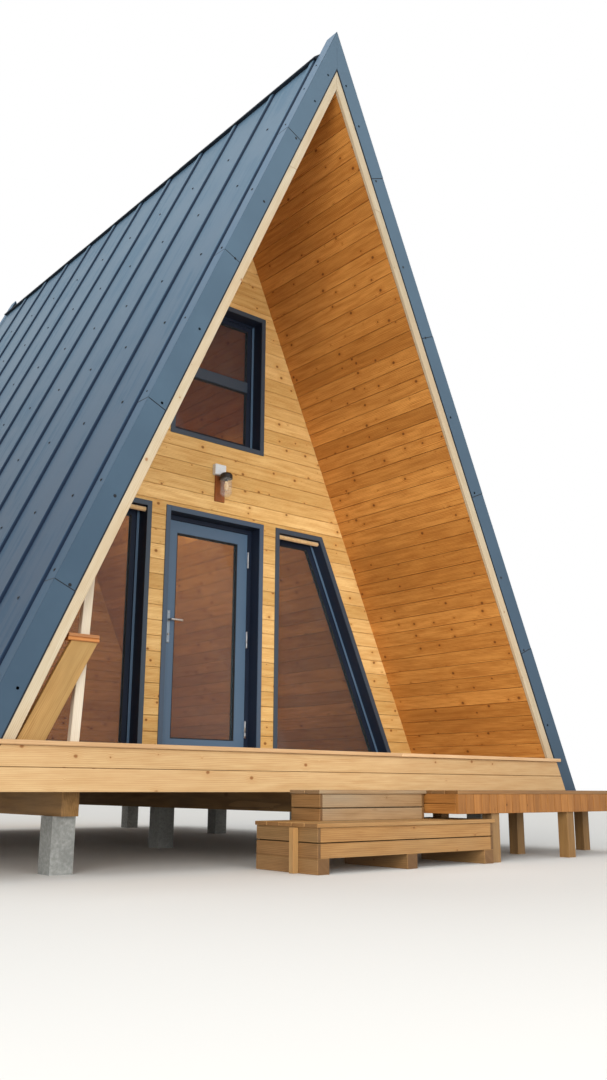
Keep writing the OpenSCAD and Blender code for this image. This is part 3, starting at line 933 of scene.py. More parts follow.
    def upright(self, side: int, low: Point, high: Point, finish: Finish, chamfer: float) -> None:
        """Adds an upright block, given by its corners on the right side, or its mirror image."""
        x0, x1 = sorted((side * low[0], side * high[0]))
        self.box((x0, *low[1:]), (x1, *high[1:]), finish, Axis.Z, chamfer)

    def ring(
        self,
        outer: Sequence[Pair],
        inner: Sequence[Pair],
        y0: float,
        y1: float,
        finish: Finish,
        soft: float,
    ) -> None:
        """Adds mitred members between two outlines in X and Z, leaving out a side of no width.

        Args:
            outer: Corners of the outer outline.
            inner: Corners of the inner one, in the same order.
            y0: Front of the members.
            y1: Back of the members.
            finish: What they are made of.
            soft: Size of their broken edges.
        """
        for i in range(len(outer)):
            j = (i + 1) % len(outer)
            ends = [outer[i], outer[j], inner[i], inner[j]]
            heights = [z for _, z in ends]
            if max(heights) - min(heights) < 1e-6:
                continue
            corners = []
            for along, across, back in CORNERS:
                x, z = ends[along + 2 * across]
                corners.append(Vector((x, y1 if back else y0, z)))
            self.hexa(corners, finish, (0.0, soft, soft))

    def turned(
        self,
        profile: Sequence[Pair],
        origin: Vector,
        axis: Vector,
        finish: Finish,
        sides: int = 24,
    ) -> None:
        """Adds a turned part, shaded as round.

        Args:
            profile: Radius and height of each ring, from the origin along the axis.
            origin: Where the height is zero.
            axis: Direction of the axis.
            finish: What it is made of.
            sides: Number of faces round it.
        """
        up = axis.normalized()
        out = up.orthogonal().normalized()
        over = up.cross(out)
        luck = self.luck()
        slot = self._slot(finish)
        turns = [2 * math.pi * i / sides for i in range(sides)]
        rings = []
        for radius, height in profile:
            middle = origin + up * height
            ring = [middle + (out * math.cos(t) + over * math.sin(t)) * radius for t in turns]
            rings.append(ring)
        for k, ((r0, h0), (r1, h1)) in enumerate(zip(profile, profile[1:])):
            if max(r0, r1) < 1e-6:
                continue
            # A flat step turns away from a far point on the axis, and a flank from its middle
            far = math.copysign(10.0, r1 - r0) if abs(r1 - r0) > abs(h1 - h0) * 4 else 0.0
            behind = (origin + up * h0 + origin + up * h1) / 2 + up * far
            for i in range(sides):
                j = (i + 1) % sides
                quad = [rings[k][i], rings[k][j], rings[k + 1][j], rings[k + 1][i]]
                self._face(self._distinct(quad), behind, up, luck, slot, True)

    @staticmethod
    def _distinct(points: Iterable[Vector]) -> list[Vector]:
        """Drops points that fall on an earlier one.

        Args:
            points: The points.

        Returns:
            Those that stay.
        """
        kept: list[Vector] = []
        for p in points:
            if all((p - q).length > 1e-7 for q in kept):
                kept.append(p)
        return kept

    def screw(self, at: Vector, out: Vector) -> None:
        """Adds a roofing screw on its rubber washer."""
        self.turned(WASHER, at, out, Finish.RUBBER, 10)
        self.turned(SCREW_HEAD, at, out, Finish.SCREW, 8)

    def tube(self, path: Sequence[Vector], radius: float, finish: Finish, sides: int) -> None:
        """Adds a round bar along a path, a little thinner at its ends.

        Args:
            path: Points of its middle line.
            radius: Its radius.
            finish: What it is made of.
            sides: Number of faces round it.
        """
        luck, slot = self.luck(), self._slot(finish)
        turns = [2 * math.pi * k / sides for k in range(sides)]
        last = len(path) - 1
        rings: list[list[Vector]] = []
        side = (path[1] - path[0]).orthogonal().normalized()
        for i, p in enumerate(path):
            way = (path[min(i + 1, last)] - path[max(i - 1, 0)]).normalized()
            side = (side - way * side.dot(way)).normalized()
            over = way.cross(side)
            thick = radius * (0.75 if i in (0, last) else 1.0)
            rings.append([p + (side * math.cos(t) + over * math.sin(t)) * thick for t in turns])
        for r in range(last):
            middle = (path[r] + path[r + 1]) / 2
            for k in range(sides):
                j = (k + 1) % sides
                quad = [rings[r][k], rings[r][j], rings[r + 1][j], rings[r + 1][k]]
                self._face(quad, middle, UP, luck, slot, True)
        for ring, inner in ((rings[0], path[1]), (rings[-1], path[-2])):
            self._face(ring, inner, UP, luck, slot)

    def finish(self, body: str, slot: str, *nodes: str) -> None:
        """Makes the object, puts it on its body and hides what it replaces.

        Args:
            body: The CAD body that it rides on.
            slot: Name of a material slot; not used.
            *nodes: CAD nodes that it stands for.
        """
        mesh = bpy.data.meshes.new(self.name)
        mesh.from_pydata(self.verts, [], self.faces)
        # Each layer is filled before the next one is made, which would leave it blank
        pairs = [pair for uv in self.uvs for pair in uv]
        mesh.uv_layers.new(name="grain").data.foreach_set("uv", [v for p in pairs for v in p])
        tints = [tint for uv, tint in zip(self.uvs, self.tints) for _ in uv]
        paint = mesh.color_attributes.new("board", "FLOAT_COLOR", "CORNER")
        paint.data.foreach_set("color", [v for tint in tints for v in tint])
        mesh.polygons.foreach_set("material_index", self.slots)
        mesh.polygons.foreach_set("use_smooth", self.smooth)
        for finish in self.finishes:
            mesh.materials.append(self.palette[finish])
        if any(self.smooth):
            joined = bmesh.new()
            joined.from_mesh(mesh)
            bmesh.ops.remove_doubles(joined, verts=joined.verts, dist=1e-6)
            joined.to_mesh(mesh)
            joined.free()
        mesh.update()
        obj = bpy.data.objects.new(self.name, mesh)
        bpy.context.scene.collection.objects.link(obj)
        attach(obj, body)
        if nodes:
            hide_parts(*nodes)
        LOG.info("%s: %d faces", self.name, len(self.faces))


@dataclass(frozen=True)
class SubAssembly:
    """A part of the cabin that is built and dressed on its own."""

    sizes: CabinSizes
    palette: Palette

    def start(self, name: str, seed: int) -> Builder:
        """Starts one of its pieces."""
        return Builder(name, self.palette, seed)


# Roof


@dataclass(frozen=True)
class RoofCovering(SubAssembly):
    """Ribbed sheets, their fasteners, and the ridge cap."""

    rib_edge: float = 0.185
    rib_second: float = 0.770
    rib_pitch: float = 0.590
    back_clear: float = 0.070
    rows: tuple[float, ...] = (5.89, 5.125, 4.28, 3.51, 2.70, 1.845, 1.013, 0.17)
    behind_rib: float = 0.264
    cap_edge: float = 0.014
    cap_lap: float = 0.0014
    cap_lengths: int = 3
    cap_screws: float = 0.6

    def ribs(self) -> list[float]:
        """Works out where the ribs are.

        Returns:
            Their distances behind the roof's front edge.
        """
        s = self.sizes
        count = int((s.length - s.trim_top - self.back_clear - self.rib_second) / self.rib_pitch)
        return [self.rib_edge] + [self.rib_second + i * self.rib_pitch for i in range(count + 1)]

    def build(self) -> None:
        """Dresses the sheets and adds fasteners and the ridge cap."""
        self.palette.dress(Finish.ROOF, "roof_sheet_left", "roof_sheet_right")
        s = self.sizes
        b = self.start("roof_screws", 3)
        for side in SIDES:
            for y in (rib + self.behind_rib for rib in self.ribs()):
                if y < s.length - s.trim_top - 0.02:
                    for run in self.rows:
                        b.screw(s.on_slope(side, run, 0.0, y), s.out(side))
        b.finish("cabin", "roof_metal")
        self._ridge()

    def _ridge(self) -> None:
        """Adds the folded cap in lapped lengths, with its screws, as long as the CAD one."""
        low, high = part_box("ridge_cap")
        b = self.start("ridge_capping", 4)
        edge, lap = self.cap_edge, self.cap_lap
        tall = high.z - low.z
        long = (high.y - low.y) / self.cap_lengths
        for i in range(self.cap_lengths):
            lift = 0.0 if i % 2 else lap
            for side in SIDES:
                corners = []
                for end, middle, top in CORNERS:
                    x = 0.0 if middle else side * (high.x - lap + lift)
                    rise = (tall - lap if middle else edge - lap) + lift if top else 0.0
                    corners.append(Vector((x, low.y + (i + end) * long, low.z + rise)))
                b.hexa(corners, Finish.RIDGE, (0.0006, 0.0, 0.0012))
        y = low.y + self.cap_screws / 2
        while y < high.y:
            for side in SIDES:
                out = Vector((side * (tall - edge), 0, high.x)).normalized()
                at = Vector((side * high.x * 0.72, y, low.z + edge + (tall - edge) * 0.28))
                b.screw(at - out * 0.001, out)
            y += self.cap_screws
        b.finish("cabin", "ridge_metal", "ridge_cap")


@dataclass(frozen=True)
class RakeTrim(SubAssembly):
    """Folded edge trim at the front or the back, in overlapping lengths, with its screws."""

    front: bool
    laps: tuple[float, ...] = (0.985, 2.355, 3.72, 5.09)
    lap_lift: float = 0.0012
    joint: float = 0.007
    metal: float = 0.0030
    hem: float = 0.012
    peak_gap: float = 0.00075
    face_screws: tuple[float, ...] = (
        0.342, 1.004, 1.640, 2.380, 3.036, 3.722, 4.330, 5.065, 5.530, 5.873,
    )
    top_screws: tuple[float, ...] = (
        0.37, 1.056, 1.708, 2.423, 3.081, 3.77, 4.40, 5.161, 5.616, 5.93,
    )

    def build(self) -> None:
        """Builds both sides of the trim."""
        s = self.sizes
        name = "front" if self.front else "back"
        b = self.start(f"edge_trim_{name}", 5 if self.front else 6)
        cover = s.roof - s.barge_show
        for side in SIDES:
            runs = [z / s.sin for z in (s.foot - s.deck, *self.laps)] + [s.rise / s.sin + 0.2]
            for i, ends in enumerate(zip(runs, runs[1:])):
                self._length(b, side, ends, cover, self.lap_lift * ((len(runs) - i) % 2))
            self._screws(b, side, cover)
        b.finish("cabin", "roof_metal", f"rake_trim_{name}")

    def _y(self, value: float) -> float:
        """Distance behind the front edge, or the same from the back edge."""
        return value if self.front else self.sizes.length - value

    def _point(self, side: int, run: float, depth: float, y: float) -> Vector:
        """Gives a point of the trim, kept off the middle and above the foot.

        Args:
            side: 1 for right, -1 for left.
            run: Distance up the slope.
            depth: Distance below the sheet's face.
            y: Distance from the trim's own edge of the roof.

        Returns:
            The point.
        """
        s = self.sizes
        p = s.on_slope(side, run, depth, self._y(y))
        if p.x * side < self.peak_gap:
            back = (self.peak_gap - p.x * side) / s.cos
            p = s.on_slope(side, run - back, depth, self._y(y))
        if p.z < s.foot:
            p = s.on_slope(side, run + (s.foot - p.z) / s.sin, depth, self._y(y))
        return p

    def _plate(
        self, b: Builder, side: int, ends: Pair, depths: Pair, ys: Pair, finish: Finish, soft: float
    ) -> None:
        """Adds a plate between two places on the slope, two depths and two distances in."""
        corners = [self._point(side, ends[i], depths[j], ys[k]) for i, j, k in CORNERS]
        b.hexa(corners, finish, (0.0004, soft, soft))

    def _length(self, b: Builder, side: int, ends: Pair, cover: float, lift: float) -> None:
        """Adds one length: the face plate, the strip on the sheet, its lip and the hem, painted as
        a dark shadow gap.

        Args:
            b: The builder.
            side: 1 for right, -1 for left.
            ends: Where it starts and ends on the slope.
            cover: How deep the face plate reaches.
            lift: How much deeper it lies than its neighbours.
        """
        s = self.sizes
        top = -s.trim + lift
        under = top + self.metal
        hem = cover - self.hem
        for depths, ys, finish, soft in (
            ((top, hem), (top, under), Finish.TRIM, 0.0012),
            # The strip on the sheet, in a lit copy of the trim's paint
            ((top, under), (top, s.trim_top), Finish.LIT_STRIP, 0.0012),
            ((under, -s.fit), (s.trim_top - 0.004, s.trim_top), Finish.TRIM, 0.0004),
            # The hem's recess, painted nearly black as the shadow gap beside the barge
            ((hem - 0.004, cover), (under + 0.0004, -0.0004), Finish.RIDGE, 0.0004),
        ):
            self._plate(b, side, ends, depths, ys, finish, soft)
        if lift:
            # Painted shadow line at each overlap, drawn on the length that lies deeper
            for run in (ends[0], ends[1] - self.joint):
                short = (run, run + self.joint)
                for depths, ys in (
                    ((under, hem), (-s.trim + 0.0004, top)),
                    ((top - 0.0008, top), (0.0, s.trim_top)),
                ):
                    self._plate(b, side, short, depths, ys, Finish.RIDGE, 0.0)

    def _screws(self, b: Builder, side: int, cover: float) -> None:
        """Adds the screws through the face plate and through the top strip.

        Args:
            b: The builder.
            side: 1 for right, -1 for left.
            cover: How deep the face plate reaches.
        """
        s = self.sizes
        ahead = AHEAD if self.front else -AHEAD
        head = ((0.0, -0.0004), (0.0120, -0.0004), (0.0105, 0.0), (0.0, 0.0))
        for z in self.face_screws:
            at = s.on_slope(side, z / s.sin, cover - 0.058, self._y(-s.trim))
            b.turned(head, at, ahead, Finish.SCREW, 10)
        for z in self.top_screws:
            b.screw(s.on_slope(side, z / s.sin, -s.trim + 0.0022, self._y(0.064)), s.out(side))


@dataclass(frozen=True)
class BargeBoards(SubAssembly):
    """Pale boards under the trims, in two lengths a side, meeting at the peak."""

    joint: float = 5.18
    joint_gap: float = 0.0015
    past_peak: float = 99.0
    butt: float = 0.00075

    def build(self) -> None:
        """Builds the front and the back pair."""
        s = self.sizes
        base = (s.foot - s.deck) / s.sin
        for name, seed, start in (("front", 7, 0.0), ("back", 8, s.length - s.barge)):
            b = self.start(f"barge_boards_{name}", seed)
            for side in SIDES:
                self._board(b, side, (base, self.joint), start)
                self._board(b, side, (self.joint + self.joint_gap, self.past_peak), start)
            b.finish("cabin", "pale_timber", f"barge_{name}")

    def _board(self, b: Builder, side: int, ends: Pair, start: float) -> None:
        """Adds one length, cut level at the foot and upright at the peak.

        Args:
            b: The builder.
            side: 1 for right, -1 for left.
            ends: Where it starts and ends on the slope.
            start: Where its front lies behind the roof's front edge.
        """
        s = self.sizes
        corners = []
        for end, inner, back in CORNERS:
            depth = s.roof if inner else s.sheet
            z = s.deck + ends[end] * s.sin
            z = max(min(z, s.apex(depth) - self.butt * s.slope), s.foot)
            x = max(s.half(z, depth), self.butt)
            corners.append(Vector((side * x, s.y(start + back * s.barge), z)))
        b.hexa(corners, Finish.BARGE, (0.0008, 0.003, 0.003))


@dataclass(frozen=True)
class RoofLining(SubAssembly):
    """Insulated roof panels with their inside boards, which run along the cabin."""

    cover: float = 0.1352
    board: float = 0.013
    gap: float = 0.0026
    phase: float = 0.0548
    least: float = 0.01
    breaks: tuple[float, ...] = (0.030, 1.785, 4.30, 6.820)

    def build(self) -> None:
        """Builds both panels."""
        for side, name in zip(SIDES, ("left", "right")):
            b = self.start(f"roof_lining_{name}", 20 + side)
            self._core(b, side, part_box(f"roof_panel_{name}")[1].z)
            for levels in self._levels():
                for ends in zip(self.breaks, self.breaks[1:]):
                    self._board(b, side, levels, ends)
            b.finish("cabin", "larch", f"roof_panel_{name}")

    def _levels(self) -> list[Pair]:
        """Works out the lower and upper edge of each board.

        Returns:
            Their heights.
        """
        s = self.sizes
        peak = s.apex(s.roof)
        step = self.cover * s.sin
        z = peak - self.phase - step * math.floor((peak - self.phase - s.foot) / step)
        rows = [s.foot]
        while z < peak - self.least:
            if z - rows[-1] > self.least:
                rows.append(z)
            z += step
        return list(zip(rows, rows[1:] + [peak]))

    def _core(self, b: Builder, side: int, top: float) -> None:
        """Adds the foam slab between the sheet and the boards.

        Args:
            b: The builder.
            side: 1 for right, -1 for left.
            top: Height of the panel's upper end.
        """
        s = self.sizes
        ys = (s.y(s.barge), s.y(s.length - s.barge))
        depths = (s.sheet, s.roof - self.board)
        split = s.apex(s.roof) - 0.05
        for levels in ((s.foot, split), (split, top)):
            corners = []
            for end, upper, inner in CORNERS:
                z = levels[upper]
                corners.append(Vector((side * max(s.half(z, depths[inner]), 0.0), ys[end], z)))
            b.hexa(corners, Finish.CORE, (0, 0, 0))

    def _board(self, b: Builder, side: int, levels: Pair, ends: Pair) -> None:
        """Adds one board of the lining.

        Args:
            b: The builder.
            side: 1 for right, -1 for left.
            levels: Heights of its edges' joints.
            ends: Where it starts and ends behind the roof's front edge.
        """
        s = self.sizes
        corners = []
        for end, upper, inner in CORNERS:
            z = levels[1] - self.gap / 2 if upper else levels[0] + self.gap / 2
            p = Vector((side * s.half(z, s.roof), s.y(ends[end]), z))
            corners.append(p if inner else p + s.out(side) * self.board)
        b.hexa(corners, Finish.LINING, (0.0004, 0.0028, 0.0028))


# Walls


@dataclass(frozen=True)
class Opening:
    """A hole in a wall with straight, maybe slanted, sides."""

    low: float
    high: float
    left: Line
    right: Line


@dataclass(frozen=True)
class WallSkin:
    """Rows of boards, or a slab, between the roof linings and round openings."""

    sizes: CabinSizes
    y0: float
    y1: float
    rows: Sequence[float]
    openings: Sequence[Opening]
    finish: Finish
    gap: float = 0.0
    chamfer: float = 0.0

    def build(self, b: Builder) -> None:
        """Adds the rows to a builder."""
        for z0, z1 in zip(self.rows, self.rows[1:]):
            self._row(b, z0 + self.gap / 2, z1 - self.gap / 2)

    def _row(self, b: Builder, z0: float, z1: float) -> None:
        """Adds one row, cut at each opening that it meets.

        Args:
            b: The builder.
            z0: Its lower edge.
            z1: Its upper edge.
        """
        s = self.sizes
        inset = s.roof + s.fit
        luck = b.luck()
        hit = [o for o in self.openings if o.low < z1 - 1e-6 and o.high > z0 + 1e-6]
        hit.sort(key=lambda o: o.left((z0 + z1) / 2))
        edges: list[Line] = [lambda z: -s.half(z, inset)]
        for o in hit:
            edges += [o.left, o.right]
        edges.append(lambda z: s.half(z, inset))
        for left, right in zip(edges[::2], edges[1::2]):
            self._piece(b, (left, right), (z0, z1), luck)
        for o in hit:
            if o.high < z1 - 1e-6:
                self._piece(b, (o.left, o.right), (o.high, z1), luck)
            if o.low > z0 + 1e-6:
                self._piece(b, (o.left, o.right), (z0, o.low), luck)

    def _piece(self, b: Builder, sides: tuple[Line, Line], levels: Pair, luck: Luck) -> None:
        """Adds one piece of a row, or nothing where it is too low to saw.

        Args:
            b: The builder.
            sides: Its left and right edge at each height.
            levels: Its lower and upper edge.
            luck: Tint and place in the grain.
        """
        if levels[1] - levels[0] < 0.002:
            return
        corners = []
        for right, upper, back in CORNERS:
            z = levels[upper]
            ends = [side(z) for side in sides]
            if ends[1] < ends[0]:
                ends = [sum(ends) / 2] * 2
            corners.append(Vector((ends[right], self.y1 if back else self.y0, z)))
        b.hexa(corners, self.finish, (0.0, self.chamfer, self.chamfer), luck)


@dataclass(frozen=True)
class GableWalls(SubAssembly):
    """Clad front wall with its openings, and the plain back wall."""

    cover: float = 0.135
    phase: float = 2.076
    least: float = 0.01
    board: float = 0.020
    board_gap: float = 0.0028
    board_edge: float = 0.0030
    inner: float = 0.013
    inner_gap: float = 0.0022
    inner_edge: float = 0.0028
    nail_pitch: float = 0.6
    nail_shift: float = 0.01
    nail_rise: float = 0.022

    def openings(self) -> tuple[Opening, ...]:
        """Reads the holes from the frames' boxes.

        Returns:
            The holes.
        """
        s = self.sizes
        hole = s.flange - s.lining
        door, up, side = (
            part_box(f"{name}_frame") for name in ("door", "upper_window", "right_window")
        )
        strip = s.roof + s.window_strip + hole
        x = side[0].x + hole
        low, high = s.deck - 1, side[1].z - hole
        square = [(lambda z, a=a: a[0].x + hole, lambda z, a=a: a[1].x - hole) for a in (door, up)]
        return (
            Opening(low, door[1].z - hole, *square[0]),
            Opening(up[0].z + hole, up[1].z - hole, *square[1]),
            Opening(low, high, lambda z: x, lambda z: s.half(z, strip)),
            Opening(low, high, lambda z: -s.half(z, strip), lambda z: -x),
        )

    def rows(self) -> list[float]:
        """Works out the joints between boards.

        Returns:
            Their heights.
        """
        s = self.sizes
        z = s.deck + self.phase - self.cover * int(self.phase / self.cover)
        top = s.apex(s.roof + s.fit)
        heights = [s.deck]
        while z < top:
            if z - heights[-1] > self.least:
                heights.append(z)
            z += self.cover
        return heights + [top]

    def build(self) -> None:
        """Builds both walls and the nails of the front one."""
        s = self.sizes
        rows = self.rows()
        holes = self.openings()
        edges = {o.low for o in holes if o.low > s.deck} | {o.high for o in holes}
        levels = sorted({s.deck, rows[-1]} | edges)
        y0, y1 = (corner.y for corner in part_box("front_wall_top"))
        b = self.start("front_wall_boards", 31)
        self._skins(b, y0, y1, rows, levels, holes)
        b.finish("cabin", "larch", "front_wall_left", "front_wall_right", "front_wall_top")
        self._nails(y0)
        y0, y1 = (corner.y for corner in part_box("back_wall"))
        b = self.start("back_wall_boards", 32)
        self._skins(b, y1, y0, rows, (s.deck, rows[-1]), ())
        b.finish("cabin", "larch", "back_wall")

    def _skins(
        self,
        b: Builder,
        outside: float,
        inside: float,
        rows: Sequence[float],
        levels: Sequence[float],
        holes: Sequence[Opening],
    ) -> None:
        """Adds a wall's cladding, core and lining.

        Args:
            b: The builder.
            outside: Y of its outer face.
            inside: Y of its inner face.
            rows: Joints of the boards.
            levels: Joints of the core.
            holes: Its openings.
        """
        way = 1 if inside > outside else -1
        clad, line = outside + way * self.board, inside - way * self.inner
        for ys, heights, finish, gap, edge in (
            ((outside, clad), rows, Finish.CLADDING, self.board_gap, self.board_edge),
            ((clad, line), levels, Finish.CORE, 0.0, 0.0),
            ((line, inside), rows, Finish.LINING, self.inner_gap, self.inner_edge),
        ):
            WallSkin(self.sizes, *sorted(ys), heights, holes, finish, gap, edge).build(b)

    def _nails(self, y: float) -> None:
        """Adds nail heads over the studs of the front wall.

        Args:
            y: Place of its face.
        """
        s = self.sizes
        b = self.start("cladding_nails", 33)
        holes = self.openings()
        rows = self.rows()
        head = ((0.0, -0.0002), (0.0026, -0.0002), (0.0021, 0.0004), (0.0, 0.0005))
        for z0, z1 in zip(rows, rows[1:]):
            z = z0 + self.nail_rise
            for i in range(-4, 5):
                x = i * self.nail_pitch + self.nail_shift
                free = abs(x) < s.half(z1, s.roof) - 0.03
                shut = any(
                    o.low - 0.04 < z < o.high + 0.04 and o.left(z) - 0.05 < x < o.right(z) + 0.05
                    for o in holes
                )
                if free and not shut and z1 - z0 > 0.05:
                    b.turned(head, Vector((x, y, z)), AHEAD, Finish.DARK, 6)
        b.finish("cabin", "steel")


# Deck, floor and what carries them


@dataclass(frozen=True)
class DeckAndFloor(SubAssembly):
    """Deck boards, inside floor, fascia, nosing, joists, bearers and piers."""

    fascia_joint: float = 0.155
    fascia_gap: float = 0.003
    nosing_joint: Pair = (0.62, 0.6215)
    least: float = 0.012

    def build(self) -> None:
        """Builds the boards and dresses the frame below."""
        self._boards("deck_boards", "porch_deck", 41, 0.140, 0.005)
        self._boards("inside_floor", "room_floor", 42, 0.120, 0.0008)
        self._fascia()
        low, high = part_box("deck_nosing")
        b = self.start("nosing_board", 43)
        for x0, x1 in ((low.x, self.nosing_joint[0]), (self.nosing_joint[1], high.x)):
            b.box((x0, low.y, low.z), (x1, high.y, high.z), Finish.NOSING, Axis.X, 0.004)
        b.finish("cabin", "pale_timber", "deck_nosing")
        self.palette.dress(Finish.JOIST, "floor_joists")
        self.palette.dress(Finish.BEARER, "bearers")
        self.palette.dress(Finish.CONCRETE, "piers")

    def _boards(self, node: str, name: str, seed: int, width: float, gap: float) -> None:
        """Lays boards along the cabin over a CAD floor, cut to the roof's slope at both sides.

        Args:
            node: The CAD floor.
            name: Name of the piece.
            seed: Seed of the boards' tints.
            width: Distance from one board to the next.
            gap: Gap between them.
        """
        s = self.sizes
        low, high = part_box(node)
        b = self.start(name, seed)
        x = -math.ceil(high.x / width) * width
        while x < high.x:
            edges = (x + gap / 2, x + width - gap / 2)
            corners = []
            for end, right, top in CORNERS:
                z = high.z if top else low.z
                edge = s.half(z, s.roof + s.fit)
                at = min(max(edges[right], -edge), edge)
                corners.append(Vector((at, high.y if end else low.y, z)))
            if corners[2].x - corners[0].x > self.least:
                b.hexa(corners, Finish.DECK, (0.001, 0.002, 0.002))
            x += width
        b.finish("cabin", "deck_timber", node)

    def _fascia(self) -> None:
        """Adds two wide boards with a joint, cut to the slope of the trims."""
        s = self.sizes
        low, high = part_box("deck_fascia")
        b = self.start("fascia_boards", 44)
        joint = s.deck - self.fascia_joint
        depth = s.roof - s.barge_show
        half_gap = self.fascia_gap / 2
        for levels in ((low.z, joint - half_gap), (joint + half_gap, high.z)):
            corners = []
            for end, upper, back in CORNERS:
                z = levels[upper]
                x = s.half(z, depth) - s.fit
                corners.append(Vector((x if end else -x, high.y if back else low.y, z)))
            b.hexa(corners, Finish.FASCIA, (0.0, 0.003, 0.003))
        b.finish("cabin", "larch", "deck_fascia")


# Door and windows


@dataclass(frozen=True)
class EntranceDoor(SubAssembly):
    """Glazed leaf with seals, hinge knuckles, plate and lever, in its dark frame."""

    play: float = 0.005
    stop: float = 0.020
    stile: float = 0.115
    top_rail: float = 0.110
    bottom_rail: float = 0.120
    seal: float = 0.010
    hinge_x: float = 0.4575
    knuckle: float = 0.009
    flap: float = 0.031
    flap_thick: float = 0.004
    lock_rise: float = 0.075
    bend: float = 0.016

    def build(self) -> None:
        """Builds the leaf and its fittings and dresses the glass."""
        self._frame()
        self._leaf()
        self.palette.dress(Finish.GLASS, "door_glass")
        self._hinges("door_hinges", "door", "hinge_knuckles")
        self._hinges("hinge_plates", "cabin", "hinge_sockets")
        self._plate()
        self._lever()

    def _frame(self) -> None:
        """Adds flat trim, linings and rebated frame painted dark as shade, and threshold."""
        s = self.sizes
        low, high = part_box("door_frame")
        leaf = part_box("door_leaf")
        b = self.start("door_surround", 51)
        wall = low.y + s.face_trim
        front, back = leaf[0].y, high.y
        rebate = leaf[1].y + self.play
        out_x, top = high.x, high.z
        in_x, in_top = out_x - s.flange, top - s.flange
        line_x, line_top = in_x + s.lining, in_top + s.lining
        face, head = leaf[1].x + self.play, leaf[1].z + self.play
        stop_x, stop_top = face - self.stop, head - self.stop
        soft = 0.0015
        for side in SIDES:
            for inner, outer, y0, y1, z, finish, edge in (
                # Flat trim, in a lighter copy of the frame's paint as painted light
                (in_x, out_x, low.y, wall, top, Finish.LIT_DOOR_TRIM, soft),
                # Linings and rebated frame, painted nearly black as the reveal's shade
                (in_x, line_x, wall, back, line_top, Finish.REVEAL_SHADE, 0.0),
                (face, in_x, front, back, in_top, Finish.REVEAL_SHADE, soft),
                (stop_x, face, rebate, back, in_top, Finish.REVEAL_SHADE, soft),
            ):
                b.upright(side, (inner, y0, s.deck), (outer, y1, z), finish, edge)
        for x, y0, y1, z0, z1, finish, edge in (
            # Flat head trim, in the same painted-light copy of the frame's paint
            (in_x, low.y, wall, in_top, top, Finish.LIT_DOOR_TRIM, soft),
            # Head lining and rebated head, painted nearly black as the reveal's shade
            (in_x, wall, back, in_top, line_top, Finish.REVEAL_SHADE, 0.0),
            (face, front, back, head, in_top, Finish.REVEAL_SHADE, soft),
            (stop_x, rebate, back, stop_top, head, Finish.REVEAL_SHADE, soft),
            (in_x, wall, front - 0.001, s.deck, s.deck + s.sill, Finish.STEEL, 0.002),
            (face, front, back, s.deck, s.deck + s.sill, Finish.STEEL, 0.002),
        ):
            b.box((-x, y0, z0), (x, y1, z1), finish, Axis.X, edge)
        b.finish("cabin", "frame_metal", "door_frame")

    def _leaf(self) -> None:
        """Adds stiles, rails and the seals round the glass."""
        low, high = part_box("door_leaf")
        b = self.start("door_leaf_framing", 52)
        x0, x1 = low.x + self.stile, high.x - self.stile
        z0, z1 = low.z + self.bottom_rail, high.z - self.top_rail
        outlines = []
        for xs, zs in (
            ((low.x, high.x), (low.z, high.z)),
            ((x0, x1), (z0, z1)),
            ((x0 + self.seal, x1 - self.seal), (z0 + self.seal, z1 - self.seal)),
        ):
            outlines.append([(xs[0], zs[0]), (xs[1], zs[0]), (xs[1], zs[1]), (xs[0], zs[1])])
        outer, inner, pane = outlines
        b.ring(outer, inner, low.y, high.y, Finish.DOOR, 0.003)
        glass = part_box("door_glass")
        inset = self.sizes.seal_depth
        for y0, y1 in ((low.y + inset, glass[0].y), (glass[1].y, high.y - inset)):
            b.ring(inner, pane, y0, y1, Finish.RUBBER, 0.001)
        b.finish("door", "door_paint", "door_leaf")

    def _hinges(self, node: str, body: str, name: str) -> None:
        """Adds turned knuckles on their flaps.

        Args:
            node: The CAD hinge halves.
            body: The body that they ride on.
            name: Name of the piece.
        """
        b = self.start(name, 53)
        front, face = (corner.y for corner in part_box(node))
        x, r = self.hinge_x, self.knuckle
        # The leaf's flaps lie left of the axis, and the frame's right of it
        flap, finish = (x - self.flap, x - 0.001), Finish.DOOR
        if body == "cabin":
            # The frame's flaps take the linings' painted shade
            flap, finish = (x + 0.0026, x + self.flap), Finish.REVEAL_SHADE
        for low, high in self._solids(node):
            tall = high - low
            knuckle = (
                (0.0, 0.0), (r - 0.001, 0.0), (r, 0.001),
                (r, tall - 0.003), (r - 0.002, tall - 0.0006), (0.0, tall),
            )
            b.turned(knuckle, Vector((x, front + r, low)), UP, Finish.CHROME, 20)
            near, far = (flap[0], face - self.flap_thick, low), (flap[1], face, high)
            b.box(near, far, finish, Axis.Z, 0.001)
        b.finish(body, "chrome_hinge", node)

    @staticmethod
    def _solids(node: str) -> list[Pair]:
        """Finds the height ranges of a node's separate solids.

        Args:
            node: The CAD node.

        Returns:
            Lowest and highest point of each.
        """
        heights = sorted({round(v.co.z, 5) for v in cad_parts[node].data.vertices})
        ranges: list[Pair] = []
        for z in heights:
            if ranges and z - ranges[-1][0] < 0.4:
                ranges[-1] = (ranges[-1][0], z)
            else:
                ranges.append((z, z))
        return ranges

